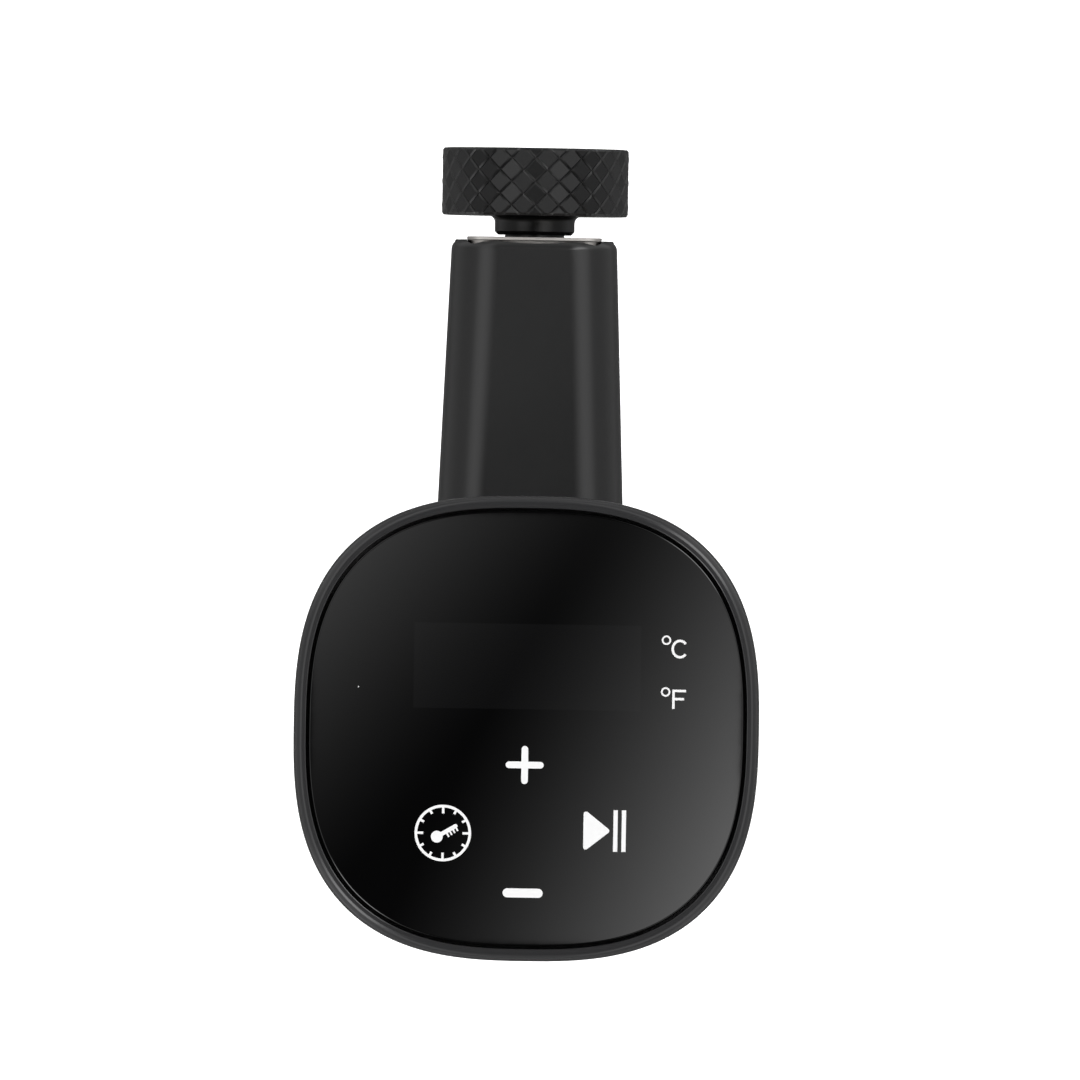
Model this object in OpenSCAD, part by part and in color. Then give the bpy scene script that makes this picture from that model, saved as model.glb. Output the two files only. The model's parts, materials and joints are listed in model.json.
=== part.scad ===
// Sous vide circulator: a heated, pumped immersion stick with a flat touch panel on top
// and a screw clamp at its back. Millimetres, +Z up, +Y towards the clamp.
// The origin is the centre of the foot's flat face, on the pump's axis.

/* [Head] */
// Width and depth of the rounded-square head
head_w = 94; // [86:1:114]
// Height of the head, from its underside to the bezel's top
head_h = 44; // [40:1:56]
// Exponent of the head's outline: 2 is a circle, more is squarer
squareness = 2.7; // [2.2:0.05:3.6]
// Wall of the head's shell
head_wall = 2.4; // [1.8:0.2:3]
// Width of the bezel ring round the glass
bezel_w = 2.5; // [1.8:0.1:4]
// Thickness of the touch glass
glass_t = 2; // [1.2:0.1:3]

/* [Body] */
// Outer diameter of the body tube
tube_d = 63; // [58:1:76]
// Wall of the body tube
tube_wall = 2.5; // [2:0.1:3]
// Length of the body tube
tube_len = 122; // [118:1:160]
// Height of the slotted vent ring under the head
vent_h = 16; // [12:1:24]
// Number of vent slots
vent_count = 20; // [12:1:24]

/* [Skirt] */
// Length of the steel skirt
skirt_len = 142; // [120:1:180]
// Thickness of the skirt's sheet steel
skirt_wall = 0.8; // [0.6:0.1:1.2]
// Thickness of the grip collar round the skirt's top
collar_t = 2; // [1.6:0.2:3]
// Number of outlet slots round the skirt
outlet_count = 10; // [6:1:12]
// Height of the foot cap under the skirt
cap_h = 8; // [6:0.5:12]

/* [Pump and heater] */
// Diameter of the pump shaft
pump_shaft_d = 5; // [4:0.5:6]
// Diameter of the impeller
impeller_d = 28; // [22:1:34]
// Diameter of the heater's steel tube
heater_d = 6; // [5:0.5:7]
// Turns of the heater's coil
heater_turns = 5; // [3:1:6]
// Rise of the coil in one turn
heater_pitch = 10; // [9:0.5:12]
// Diameter of the motor's can
motor_d = 34; // [28:1:38]
// Length of the motor's can
motor_len = 44; // [36:1:46]

/* [Clamp] */
// Reach of the clamp's arm from the pump's axis
arm_reach = 99.5; // [92:0.5:130]
// Width of the arm at the body
arm_root_w = 39.6; // [37:0.2:46]
// Width of the arm at its end
arm_end_w = 34; // [32:0.2:42]
// Thickness of the arm
arm_t = 11; // [9:0.5:14]
// Height of the clamp screw's axis above the skirt's top
clamp_up = 37; // [33:1:50]
// Depth of the screw's axis below the arm's top
arm_drop = 27; // [26:0.5:32]
// Thickness of the clamp's outer leg
leg_t = 14; // [12:0.5:18]
// Diameter of the clamp screw
screw_d = 10; // [8:0.5:12]
// Diameter of the knurled knob
knob_d = 38.4; // [32:0.2:46]
// Thickness of the knob
knob_t = 13.9; // [12:0.1:20]
// Diameter of the knob's hub
hub_d = 16.4; // [15:0.2:20]
// Diameter of the pressure foot
foot_d = 24; // [21:1:26]

/* [Cord inlet] */
// Diameter of the hole for the mains cord
cord_bore_d = 7.5; // [6:0.1:9]

/* [Hidden] */
$fn = 72;

// Clearances: seam between parts, sliding fit, running fit of a turning shaft
seam = 0.3;
slide_gap = 0.2;
run_gap = 0.05;

// Heights, from the foot up
skirt_top = cap_h + skirt_len;
tube_top = skirt_top + tube_len;
head_z = tube_top + vent_h;
top_z = head_z + head_h;

// Radii of the body and the skirt
tube_r = tube_d / 2;
tube_ir = tube_r - tube_wall;
skirt_r = tube_r - collar_t;
skirt_ir = skirt_r - skirt_wall;
spigot_r = skirt_ir - slide_gap;
collar_h = 12;

// Bulkhead between the water and the motor
spigot_h = 14;
bulkhead_floor = 6;
bulkhead_z = skirt_top - spigot_h;
bulkhead_top = skirt_top + 24;
bulkhead_r = tube_ir - 0.1;
bulkhead_wall = 3.9;
seal_r = 6;
seal_h = 5;
boss_r = 7.8;
boss_top = skirt_top;
bearing_h = 5;
o_ring_r = 0.85;

// Pump
pump_shaft_r = pump_shaft_d / 2;
shaft_low = cap_h + 14;
coupling_z = skirt_top + 5;
coupling_h = 12;
coupling_r = 7;
shaft_joint_z = coupling_z + coupling_h / 2;
impeller_z = shaft_low;
impeller_h = 10;

// Motor and fan
motor_plate_t = 3;
motor_z = bulkhead_top + motor_plate_t;
motor_r = motor_d / 2;
motor_wall = 1.2;
motor_shaft_r = 2;
motor_bearing_r = 6;
motor_bearing_h = 4;
motor_top = motor_z + motor_len;
fan_z = motor_top + 5;
fan_h = 10;
fan_r = min(20, tube_ir - 7);

// Heater coil, with one leg on the coil's own radius and one inside it
heater_r = heater_d / 2;
coil_r = skirt_ir - 5.2 - heater_r;
leg_r = boss_r + 1.6 + heater_r;
coil_low = cap_h + 37;
coil_high = coil_low + heater_turns * heater_pitch;
bend_r = 8;
heater_top = bulkhead_z + bulkhead_floor + 5;
rod_ring_r = 12.5;
probe_r = 2;
rod_r = 1.5;
leg_in_angle = 70;
heater_end_angle = 360 * heater_turns;

// Foot cap and its bayonet
cap_spigot_h = 10;
outlet_z = 31;
outlet_len = 25;
outlet_w = 3.2;
cap_floor = 3;
lug_count = 3;
lug_angle = 8;
lug_h = 3;
lug_z = cap_h + 4;
lug_room = lug_angle / 2 + 1;
twist_angle = 25;

// Head: half widths of the outline, the shell's inside and the glass
head_a = head_w / 2;
shell_in_a = head_a - head_wall;
bezel_in_a = head_a - bezel_w;
glass_a = bezel_in_a - 0.6;
glass_sink = 0.5;
glass_z = top_z - glass_sink - glass_t;
gasket_t = 0.6;
frame_t = 4;
frame_z = glass_z - gasket_t - frame_t;
frame_w = 5.4;
shell_top = top_z - 6;
ledge_w = 2.6;
neck_r = tube_r + 1.5;
bowl_h = 20;
floor_t = 3;
floor_in_r = tube_ir - 6;
floor_r = tube_r - 0.5;
outline_steps = 96;
bowl_steps = 7;

// Boards in the head
board_t = 1.6;
power_board_z = head_z + 10;
power_board_r = floor_r + 4;
display_board_z = glass_z - 12;
display_board_a = glass_a - 6.5;
standoff_r = 2.6;
standoff_at = (tube_ir - 1.2) * sqrt(0.5);
display_size = [45.8, 17.2, 9];
display_y = 12.5;
key_at = [[0, -7.4], [0, -33.2], [16.4, -20.4], [-16.4, -21.3]];
led_at = [[29.4, 17.4], [29.4, 6.8], [-33.7, 7.3]];

// Head screws
head_screw_r = 1.5;
head_screw_at = tube_ir - 1.1;
head_boss_r = 3.6;
boss_len = 12;

// Clamp
clamp_z = skirt_top + clamp_up;
arm_top = clamp_z + arm_drop;
arm_low = arm_top - arm_t;
arm_edge = 1;
arm_round = arm_t - arm_edge;
arm_end_round = 2;
saddle_t = 7;
saddle_y = tube_r + saddle_t;
saddle_low = clamp_z - 19;
jaw_pad_t = 2.5;
jaw_y = saddle_y + jaw_pad_t;
jaw_gap = 1.2;
leg_y = arm_reach - leg_t;
leg_r_out = arm_end_w / 2 - 0.6;
plate_t = 2.6;
plate_proud = 0.6;
plate_y = arm_reach + plate_proud - plate_t;
plate_r = 13.8;
plate_top = arm_top - 0.6;
plate_arch_r = 61;
plate_corner_r = 3;
plate_gap = 0.1;
screw_r = screw_d / 2;
plate_hole_r = screw_r + 0.7;
bush_r = screw_r + 4;
bracket_screw_r = 1.6;
bracket_screw_x = 10;
bracket_screw_z = [clamp_z - 5, arm_top - 7];

// Clamp screw, pressure foot and knob, along Y
foot_pad_t = 2.5;
foot_plate_t = 3.5;
foot_hub_r = 7.2;
foot_hub_len = 6;
foot_y = jaw_y + jaw_gap;
foot_back = foot_y + foot_pad_t + foot_plate_t + foot_hub_len;
neck_pin_r = 3.2;
button_r = 4.8;
button_len = 4.6;
button_room = 4.8;
retainer_t = 0.8;
shoulder_y = foot_back + retainer_t + 0.1;
shoulder_r = plate_hole_r + 0.4;
shoulder_len = 0.6;
hub_y = arm_reach + plate_proud + shoulder_len;
hub_len = 3.9;
hub_fillet = 1.4;
hub_chamfer = 0.7;
knob_chamfer = 0.5;
knob_y = hub_y + hub_len;
knob_end = knob_y + knob_t;
knob_depth = shoulder_len + hub_len + knob_t;
knob_recess = 1.5;
screw_end = 4;
knob_cap_r = knob_d / 2 - 5;

// Cord gland
gland_z = tube_top - 32;
gland_r = 6.5;
gland_flange_r = 8.5;
gland_out = 9.5;
gland_in = 5;

// Points of a rounded-square outline of half width a and exponent n
function outline(a, n) = [for (i = [0 : outline_steps - 1])
    let (t = 360 * i / outline_steps, c = cos(t), s = sin(t))
    [a * sign(c) * pow(abs(c), 2 / n), a * sign(s) * pow(abs(s), 2 / n)]];

// The same outline as a ring of points at height z, for a lofted shell: level is [z, a, n]
function level_ring(level) = [for (p = outline(level[1], level[2])) [p[0], p[1], level[0]]];

// Faces that join rings of count points one after the other, and the last ring to the first
function closed_loft_faces(rings, count) = [for (r = [0 : rings - 1], i = [0 : count - 1])
    let (j = (i + 1) % count, q = (r + 1) % rings)
    each [[r * count + i, q * count + i, r * count + j], [r * count + j, q * count + i, q * count + j]]];

// Faces of a tube of rings, with a flat cap on each end
function tube_faces(rings, count) = concat(
    [for (r = [0 : rings - 2], i = [0 : count - 1]) let (j = (i + 1) % count)
        each [[r * count + i, (r + 1) * count + i, r * count + j],
            [r * count + j, (r + 1) * count + i, (r + 1) * count + j]]],
    [[for (i = [0 : count - 1]) i]],
    [[for (i = [count - 1 : -1 : 0]) (rings - 1) * count + i]]);

// A unit vector along v
function unit(v) = v / norm(v);

// A round bar of radius r swept along points around the Z axis; each ring is square to the path
module swept_bar(path, r, sides) {
    last = len(path) - 1;
    points = [for (i = [0 : last])
        let (ahead = path[min(i + 1, last)], behind = path[max(i - 1, 0)],
            along = unit(ahead - behind),
            outward = unit([path[i][0], path[i][1], 0]),
            across = unit(cross(along, outward)),
            up = cross(across, along))
        for (k = [0 : sides - 1])
            path[i] + r * (cos(360 * k / sides) * up + sin(360 * k / sides) * across)];
    polyhedron(points, tube_faces(last + 1, sides), convexity = 8);
}

module plate_shape(a, z, h) translate([0, 0, z]) linear_extrude(h) polygon(outline(a, squareness));

module outline_ring(a_out, a_in, z, h) difference() {
    plate_shape(a_out, z, h);
    plate_shape(a_in, z - 1, h + 2);
}

module ring(r_out, r_in, z, h) translate([0, 0, z]) difference() {
    cylinder(r = r_out, h = h);
    translate([0, 0, -1]) cylinder(r = r_in, h = h + 2);
}

// A cylinder along +Y that starts at y, on the clamp screw's axis
module along_y(r, y, len, z = clamp_z) translate([0, y, z]) rotate([-90, 0, 0]) cylinder(r = r, h = len);

module at_quarters(r, turn = 0) for (a = [0 : 90 : 270]) rotate(a + turn) translate([r, 0, 0]) children();

// ---- Head ----

module touch_glass() color([0.02, 0.02, 0.02]) plate_shape(glass_a, glass_z, glass_t);

module bezel_ring() color([0.16, 0.16, 0.16]) outline_ring(head_a, bezel_in_a, shell_top, top_z - shell_top);

module panel_gasket() color([0.3, 0.3, 0.3])
    outline_ring(glass_a - 0.4, glass_a - 3.4, frame_z + frame_t, gasket_t);

module panel_frame() color([0.2, 0.2, 0.2])
    outline_ring(glass_a, glass_a - frame_w, frame_z, frame_t);

// Levels of the shell's outside, from the neck to the bezel's seat
function shell_outside() = concat(
    [for (k = [0 : bowl_steps]) let (t = 90 * k / bowl_steps)
        [head_z + bowl_h * (1 - cos(t)), neck_r + (head_a - neck_r) * sin(t), 2 + (squareness - 2) * sin(t)]],
    [[shell_top, head_a, squareness]]);

// Levels of the shell's inside, from the bezel's seat down to the hole in the floor
function shell_inside() = concat(
    [[shell_top, shell_in_a, squareness], [frame_z, shell_in_a, squareness],
        [frame_z, shell_in_a - ledge_w, squareness], [frame_z - 2, shell_in_a - ledge_w, squareness],
        [frame_z - 2 - ledge_w, shell_in_a, squareness]],
    [for (k = [bowl_steps : -1 : 0]) let (t = 90 * k / bowl_steps)
        [head_z + floor_t + (bowl_h - floor_t) * (1 - cos(t)), floor_r + (shell_in_a - floor_r) * sin(t),
            2 + (squareness - 2) * sin(t)]],
    [[head_z + floor_t, floor_in_r, 2], [head_z, floor_in_r, 2]]);

module head_shell() color([0.15, 0.15, 0.15]) difference() {
    levels = concat(shell_outside(), shell_inside());
    polyhedron([for (level = levels) each level_ring(level)],
        closed_loft_faces(len(levels), outline_steps), convexity = 6);
    at_quarters(head_screw_at) translate([0, 0, head_z - 1]) cylinder(r = head_screw_r + 0.2, h = floor_t + 2);
}

module head_screws() color("silver") at_quarters(head_screw_at) {
    translate([0, 0, tube_top - boss_len + 2]) cylinder(r = head_screw_r, h = vent_h + floor_t + boss_len - 2);
    translate([0, 0, head_z + floor_t]) cylinder(r = 2.7, h = 1.9);
}

module board_standoffs() color("goldenrod") {
    at_quarters(standoff_at * sqrt(2), 45) translate([0, 0, head_z + floor_t])
        cylinder(r = standoff_r, h = power_board_z - head_z - floor_t);
    at_quarters(standoff_at * sqrt(2), 45) translate([0, 0, power_board_z + board_t])
        cylinder(r = standoff_r, h = display_board_z - power_board_z - board_t);
}

module power_board() color([0.05, 0.3, 0.15])
    translate([0, 0, power_board_z]) cylinder(r = power_board_r, h = board_t);

module power_relay() color([0.1, 0.2, 0.5])
    translate([-25, -8, power_board_z + board_t]) cube([18, 15, 11]);

module mains_capacitors() color([0.75, 0.6, 0.1]) translate([0, 0, power_board_z + board_t]) {
    translate([-5, 13, 0]) cube([18, 8, 11]);
    for (x = [-12, 2]) translate([x, -17, 0]) cylinder(r = 5, h = 11);
}

module transformer() color([0.85, 0.8, 0.3])
    translate([6, -10, power_board_z + board_t]) cube([16, 18, 11]);

module terminal_block() color([0.1, 0.45, 0.2])
    translate([-16, 12, power_board_z + board_t]) cube([9, 8, 9]);

module display_board() color([0.05, 0.25, 0.12]) plate_shape(display_board_a, display_board_z, board_t);

module display_module() color([0.08, 0.08, 0.08])
    translate([-display_size[0] / 2, display_y - display_size[1] / 2, display_board_z + board_t])
        cube(display_size);

module touch_springs() color("silver") for (p = key_at) translate([p[0], p[1], 0])
    ring(4.6, 3.8, display_board_z + board_t, glass_z - display_board_z - board_t);

module icon_leds() color("white") for (p = concat(key_at, led_at))
    translate([p[0] - 1.4, p[1] - 1.4, display_board_z + board_t]) cube([2.8, 2.8, 1.8]);

module buzzer() color([0.12, 0.12, 0.12])
    translate([0, 26, display_board_z - 6]) cylinder(r = 6, h = 6);

// ---- Body ----

module vent_ring() color([0.14, 0.14, 0.14]) difference() {
    union() {
        ring(tube_r, tube_ir, tube_top, vent_h);
        at_quarters(head_screw_at) translate([0, 0, tube_top]) cylinder(r = head_boss_r, h = vent_h);
    }
    difference() {
        for (i = [0 : vent_count - 1]) rotate(360 * (i + 0.5) / vent_count)
            translate([tube_r - 7, -1.1, tube_top + 2.5]) cube([14, 2.2, vent_h - 5]);
        cylinder(r = tube_ir - 0.5, h = top_z);
        at_quarters(head_screw_at) cylinder(r = head_boss_r, h = top_z);
    }
    ring(tube_r + 5, tube_r, tube_top - 1, vent_h + 2);
    at_quarters(head_screw_at) translate([0, 0, tube_top - 1]) cylinder(r = head_screw_r + 0.1, h = vent_h + 2);
}

module body_tube() color([0.14, 0.14, 0.14]) difference() {
    union() {
        ring(tube_r, tube_ir, skirt_top, tube_len);
        at_quarters(head_screw_at) translate([0, 0, tube_top - boss_len])
            cylinder(r = head_boss_r, h = boss_len);
    }
    ring(tube_r + 5, tube_r, tube_top - boss_len - 1, boss_len + 2);
    at_quarters(head_screw_at) translate([0, 0, tube_top - boss_len + 2])
        cylinder(r = head_screw_r, h = boss_len);
    translate([-tube_r - 1, 0, gland_z]) rotate([0, 90, 0]) cylinder(r = gland_r, h = tube_wall + 4);
    bracket_screw_holes(tube_ir - 3, tube_wall + 5);
}

module cord_gland() color([0.1, 0.1, 0.1]) translate([0, 0, gland_z]) difference() {
    union() {
        translate([-tube_r - gland_out, 0, 0]) rotate([0, 90, 0])
            cylinder(r = gland_r, h = gland_out + tube_wall + gland_in);
        translate([-tube_r - 3.4, 0, 0]) rotate([0, 90, 0]) cylinder(r = gland_flange_r, h = 5.4);
    }
    translate([-tube_r - gland_out - 1, 0, 0]) rotate([0, 90, 0]) cylinder(r = cord_bore_d / 2, h = 30);
    translate([0, 0, -20]) cylinder(r = tube_ir - gland_in, h = 40);
    difference() {
        translate([0, 0, -20]) cylinder(r = tube_r, h = 40);
        translate([-tube_r - 6, 0, 0]) rotate([0, 90, 0]) cylinder(r = gland_r, h = 20);
    }
}

module gland_nut() color([0.1, 0.1, 0.1]) difference() {
    translate([-tube_ir + 1.2, 0, gland_z]) rotate([0, 90, 0]) cylinder(r = 9.2, h = gland_in - 1.4, $fn = 6);
    translate([-tube_r, 0, gland_z]) rotate([0, 90, 0]) cylinder(r = gland_r + 0.02, h = 30);
    ring(tube_r + 5, tube_ir - 0.05, gland_z - 15, 30);
}

// ---- Motor ----

module motor_screw_places() for (a = [90 : 120 : 330]) rotate(a)
    translate([motor_r - 5, 0, bulkhead_top]) children();

module motor_screws() color("silver") motor_screw_places() {
    translate([0, 0, -1.6]) cylinder(r = 2.4, h = 1.6);
    cylinder(r = 1.4, h = motor_plate_t + motor_wall + 1);
}

module motor_plate() color("gainsboro") difference() {
    translate([0, 0, bulkhead_top]) cylinder(r = bulkhead_r, h = motor_plate_t);
    motor_screw_places() cylinder(r = 1.4, h = 30, center = true);
    translate([0, 0, bulkhead_top - 1]) cylinder(r = coupling_r + 1.5, h = motor_plate_t + 2);
    motor_plate_screw_places() cylinder(r = 1.35, h = 30, center = true);
}

module motor_plate_screw_places() for (a = [30 : 120 : 270]) rotate(a)
    translate([bulkhead_r - bulkhead_wall / 2, 0, bulkhead_top]) children();

module motor_plate_screws() color("silver") motor_plate_screw_places() {
    translate([0, 0, -8]) cylinder(r = 1.25, h = 8 + motor_plate_t);
    translate([0, 0, motor_plate_t]) cylinder(r = 1.8, h = 1.6);
}

module motor_housing() color("silver") translate([0, 0, motor_z]) difference() {
    cylinder(r = motor_r, h = motor_len);
    translate([0, 0, motor_wall]) cylinder(r = motor_r - motor_wall, h = motor_len - 2 * motor_wall);
    translate([0, 0, -1]) cylinder(r = motor_bearing_r, h = motor_len + 2);
    translate([0, 0, -motor_z]) motor_screw_places() cylinder(r = 1.4, h = 8);
}

module motor_stator() color([0.72, 0.42, 0.2])
    ring(motor_r - motor_wall - 0.1, motor_r * 0.56, motor_z + 8, motor_len - 16);

module motor_bearings() color("silver") for (z = [motor_z, motor_top - motor_bearing_h])
    ring(motor_bearing_r, motor_shaft_r + run_gap, z, motor_bearing_h);

module rotor_core() color("gray") ring(motor_r * 0.56 - 0.6, motor_shaft_r, motor_z + 9, motor_len - 18);

module motor_shaft() color("silver")
    translate([0, 0, shaft_joint_z]) cylinder(r = motor_shaft_r, h = fan_z + fan_h - shaft_joint_z);

module cooling_fan() color([0.2, 0.2, 0.2]) {
    ring(6, motor_shaft_r, fan_z, fan_h);
    intersection() {
        for (i = [0 : 6]) rotate(360 * i / 7) translate([5, 0, fan_z + fan_h / 2]) rotate([38, 0, 0])
            translate([0, -0.6, -fan_h]) cube([fan_r, 1.2, 2 * fan_h]);
        ring(fan_r, 5.9, fan_z, fan_h);
    }
}

module shaft_coupling() color([0.55, 0.55, 0.6]) difference() {
    translate([0, 0, coupling_z]) cylinder(r = coupling_r, h = coupling_h);
    translate([0, 0, coupling_z - 1]) cylinder(r = pump_shaft_r, h = shaft_joint_z - coupling_z + 1);
    translate([0, 0, shaft_joint_z - 0.5]) cylinder(r = motor_shaft_r, h = coupling_h);
}

// ---- Bulkhead, pump and heater ----

// Places of the heater's legs, the probe and the level rods on the bulkhead's floor
module heater_leg_places() {
    translate([coil_r, 0, 0]) children();
    rotate(heater_out_angle) translate([leg_r, 0, 0]) children();
}

module probe_place() rotate(-115) translate([rod_ring_r + 1, 0, 0]) children();

module level_rod_places() for (a = [-50, -165]) rotate(a) translate([rod_ring_r + 1, 0, 0]) children();

module bulkhead() color([0.25, 0.25, 0.27]) difference() {
    union() {
        ring(spigot_r, spigot_r - 3.5, bulkhead_z, spigot_h);
        translate([0, 0, bulkhead_z]) cylinder(r = spigot_r - 2, h = bulkhead_floor);
        ring(bulkhead_r, bulkhead_r - bulkhead_wall, skirt_top, bulkhead_top - skirt_top);
        translate([0, 0, bulkhead_z]) cylinder(r = boss_r, h = boss_top - bulkhead_z);
    }
    ring(spigot_r + 5, spigot_r - 1.6, bulkhead_z + spigot_h / 2 - 1, 2);
    translate([0, 0, bulkhead_z - 1]) cylinder(r = seal_r, h = spigot_h + 2);
    translate([0, 0, bulkhead_z - 1]) {
        heater_leg_places() cylinder(r = heater_r + 0.1, h = bulkhead_floor + 2);
        probe_place() cylinder(r = probe_r + 0.1, h = bulkhead_floor + 2);
        level_rod_places() cylinder(r = rod_r + 0.1, h = bulkhead_floor + 2);
    }
    motor_plate_screw_places() translate([0, 0, -9]) cylinder(r = 1.25, h = 10);
}

module bulkhead_seal() color([0.1, 0.1, 0.1]) translate([0, 0, bulkhead_z + spigot_h / 2])
    rotate_extrude() translate([spigot_r - 1.6 + o_ring_r + 0.02, 0]) circle(r = o_ring_r, $fn = 24);

module shaft_seal() color([0.1, 0.1, 0.1]) ring(seal_r, pump_shaft_r + run_gap, bulkhead_z, seal_h);

module pump_bearing() color("silver")
    ring(seal_r, pump_shaft_r + run_gap, boss_top - bearing_h, bearing_h);

module pump_shaft() color("silver")
    translate([0, 0, shaft_low]) cylinder(r = pump_shaft_r, h = shaft_joint_z - shaft_low);

module impeller() color([0.2, 0.2, 0.22]) {
    ring(5, pump_shaft_r, impeller_z, impeller_h);
    ring(impeller_d / 2, 4.9, impeller_z + impeller_h - 2, 2);
    difference() {
        for (i = [0 : 5]) rotate(60 * i) translate([4, -0.7, impeller_z])
            cube([impeller_d / 2 - 4.5, 1.4, impeller_h - 1]);
        translate([0, 0, impeller_z - 1]) cylinder(r = 4.9, h = impeller_h);
    }
}

module impeller_clip() color("silver") ring(pump_shaft_r + 2, pump_shaft_r, impeller_z + impeller_h, 1);

// The heater's path as [radius, angle, height], down the outer leg, round the coil and up the inner leg
heater_bend_angle = bend_r / coil_r * 180 / PI;
inner_bend_angle = bend_r / leg_r * 180 / PI;
heater_out_angle = heater_bend_angle + heater_end_angle + leg_in_angle + inner_bend_angle;
heater_polar = concat(
    [[coil_r, 0, heater_top], [coil_r, 0, coil_high + bend_r + 6]],
    [for (b = [0 : 18 : 90]) [coil_r, heater_bend_angle * (1 - cos(b)), coil_high + bend_r * (1 - sin(b))]],
    [for (a = [20 : 20 : heater_end_angle])
        [coil_r, heater_bend_angle + a, coil_high - heater_pitch * a / 360]],
    [for (s = [0.2 : 0.2 : 1]) [coil_r + (leg_r - coil_r) * s * s * (3 - 2 * s),
        heater_bend_angle + heater_end_angle + leg_in_angle * s, coil_low]],
    [for (b = [18 : 18 : 90]) [leg_r,
        heater_bend_angle + heater_end_angle + leg_in_angle + inner_bend_angle * sin(b),
        coil_low + bend_r * (1 - cos(b))]],
    [[leg_r, heater_out_angle, coil_low + bend_r + 8], [leg_r, heater_out_angle, heater_top]]);

module heater_coil() color([0.75, 0.75, 0.78])
    swept_bar([for (p = heater_polar) [p[0] * cos(p[1]), p[0] * sin(p[1]), p[2]]], heater_r, 12);

module heater_terminals() color("silver")
    heater_leg_places() translate([0, 0, heater_top]) cylinder(r = 1.2, h = 6);

module temperature_probe() color("silver") probe_place() {
    translate([0, 0, coil_low + 15]) cylinder(r = probe_r, h = heater_top - coil_low - 15);
    translate([0, 0, coil_low + 15]) sphere(r = probe_r, $fn = 32);
}

module level_sensors() color("silver") level_rod_places()
    translate([0, 0, coil_high - 20]) cylinder(r = rod_r, h = heater_top - coil_high + 20);

// ---- Skirt and foot cap ----

// A block of a ring between two angles, for the lugs
module ring_sector(r_out, r_in, z, h, from, to) translate([0, 0, z]) rotate(from)
    rotate_extrude(angle = to - from) translate([r_in, 0]) square([r_out - r_in, h]);

module skirt() color([0.78, 0.78, 0.8]) difference() {
    ring(skirt_r, skirt_ir, cap_h, skirt_len - seam);
    for (i = [0 : outlet_count - 1]) rotate(360 * (i + 0.5) / outlet_count) outlet_slot();
    for (i = [0 : lug_count - 1]) rotate(360 * i / lug_count) {
        wedge(lug_z - slide_gap, lug_h + 2 * slide_gap, -lug_room, twist_angle + lug_room);
        wedge(cap_h - 1, lug_z - cap_h + 1, twist_angle - lug_room, twist_angle + lug_room);
    }
}

// A wedge from the axis out past the skirt, between two angles
module wedge(z, h, from, to) translate([0, 0, z]) linear_extrude(h)
    polygon([[0, 0], [2 * skirt_r * cos(from), 2 * skirt_r * sin(from)],
        [2 * skirt_r * cos(to), 2 * skirt_r * sin(to)]]);

// A slot's outline with round ends, r its half width and reach its half length
function slot_outline(r, reach) = [for (side = [0, 180], t = [0 : 15 : 180])
    [reach * (side == 0 ? 1 : -1) + r * sin(t + side), r * cos(t + side)]];

// An upright slot with round ends
module outlet_slot() translate([skirt_ir - 4, 0, cap_h + outlet_z]) rotate([0, 90, 0])
    linear_extrude(8) polygon(slot_outline(outlet_w / 2, outlet_len / 2 - outlet_w / 2));

module skirt_collar() color([0.14, 0.14, 0.14]) difference() {
    ring(tube_r, skirt_r, skirt_top - seam - collar_h, collar_h);
    for (i = [0 : 35]) rotate(10 * i) translate([tube_r + 0.35, 0, skirt_top - collar_h + 1.5])
        cylinder(r = 0.9, h = collar_h - 4, $fn = 24);
}

module foot_cap() color([0.13, 0.13, 0.13]) difference() {
    union() {
        cylinder(r = skirt_r, h = cap_h - 0.1);
        cylinder(r = skirt_ir - slide_gap, h = cap_h + cap_spigot_h);
        for (i = [0 : lug_count - 1]) rotate(360 * i / lug_count)
            ring_sector(skirt_r - 0.2, skirt_ir - 1, lug_z, lug_h, -lug_angle / 2, lug_angle / 2);
    }
    translate([0, 0, cap_floor]) cylinder(r = skirt_ir - 2.6, h = cap_h + cap_spigot_h);
    for (i = [0 : 11]) rotate(30 * i) translate([9, -1.7, -1]) {
        cube([skirt_ir - 15, 3.4, cap_floor + 2]);
        for (x = [0, skirt_ir - 15]) translate([x, 1.7, 0]) cylinder(r = 1.7, h = cap_floor + 2);
    }
}

// ---- Clamp ----

// One side of the arm's cross-section, w its half width and cut what its faces are set in by
function arm_side(w, cut) = concat(
    [for (t = [0 : 10 : 90])
        [w - arm_round + (arm_round - cut) * sin(t), -arm_round + (arm_round - cut) * cos(t)]],
    [for (t = [0 : 30 : 90])
        [w - cut - arm_edge + arm_edge * cos(t), -arm_t + cut + arm_edge - arm_edge * sin(t)]]);

// A thin slice of the arm at y
module arm_slice(w, y, cut = 0) translate([0, y, arm_top]) rotate([90, 0, 0]) linear_extrude(0.01) {
    side = arm_side(w, cut);
    polygon(concat(side, [for (i = [len(side) - 1 : -1 : 0]) [-side[i][0], side[i][1]]]));
}

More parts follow.
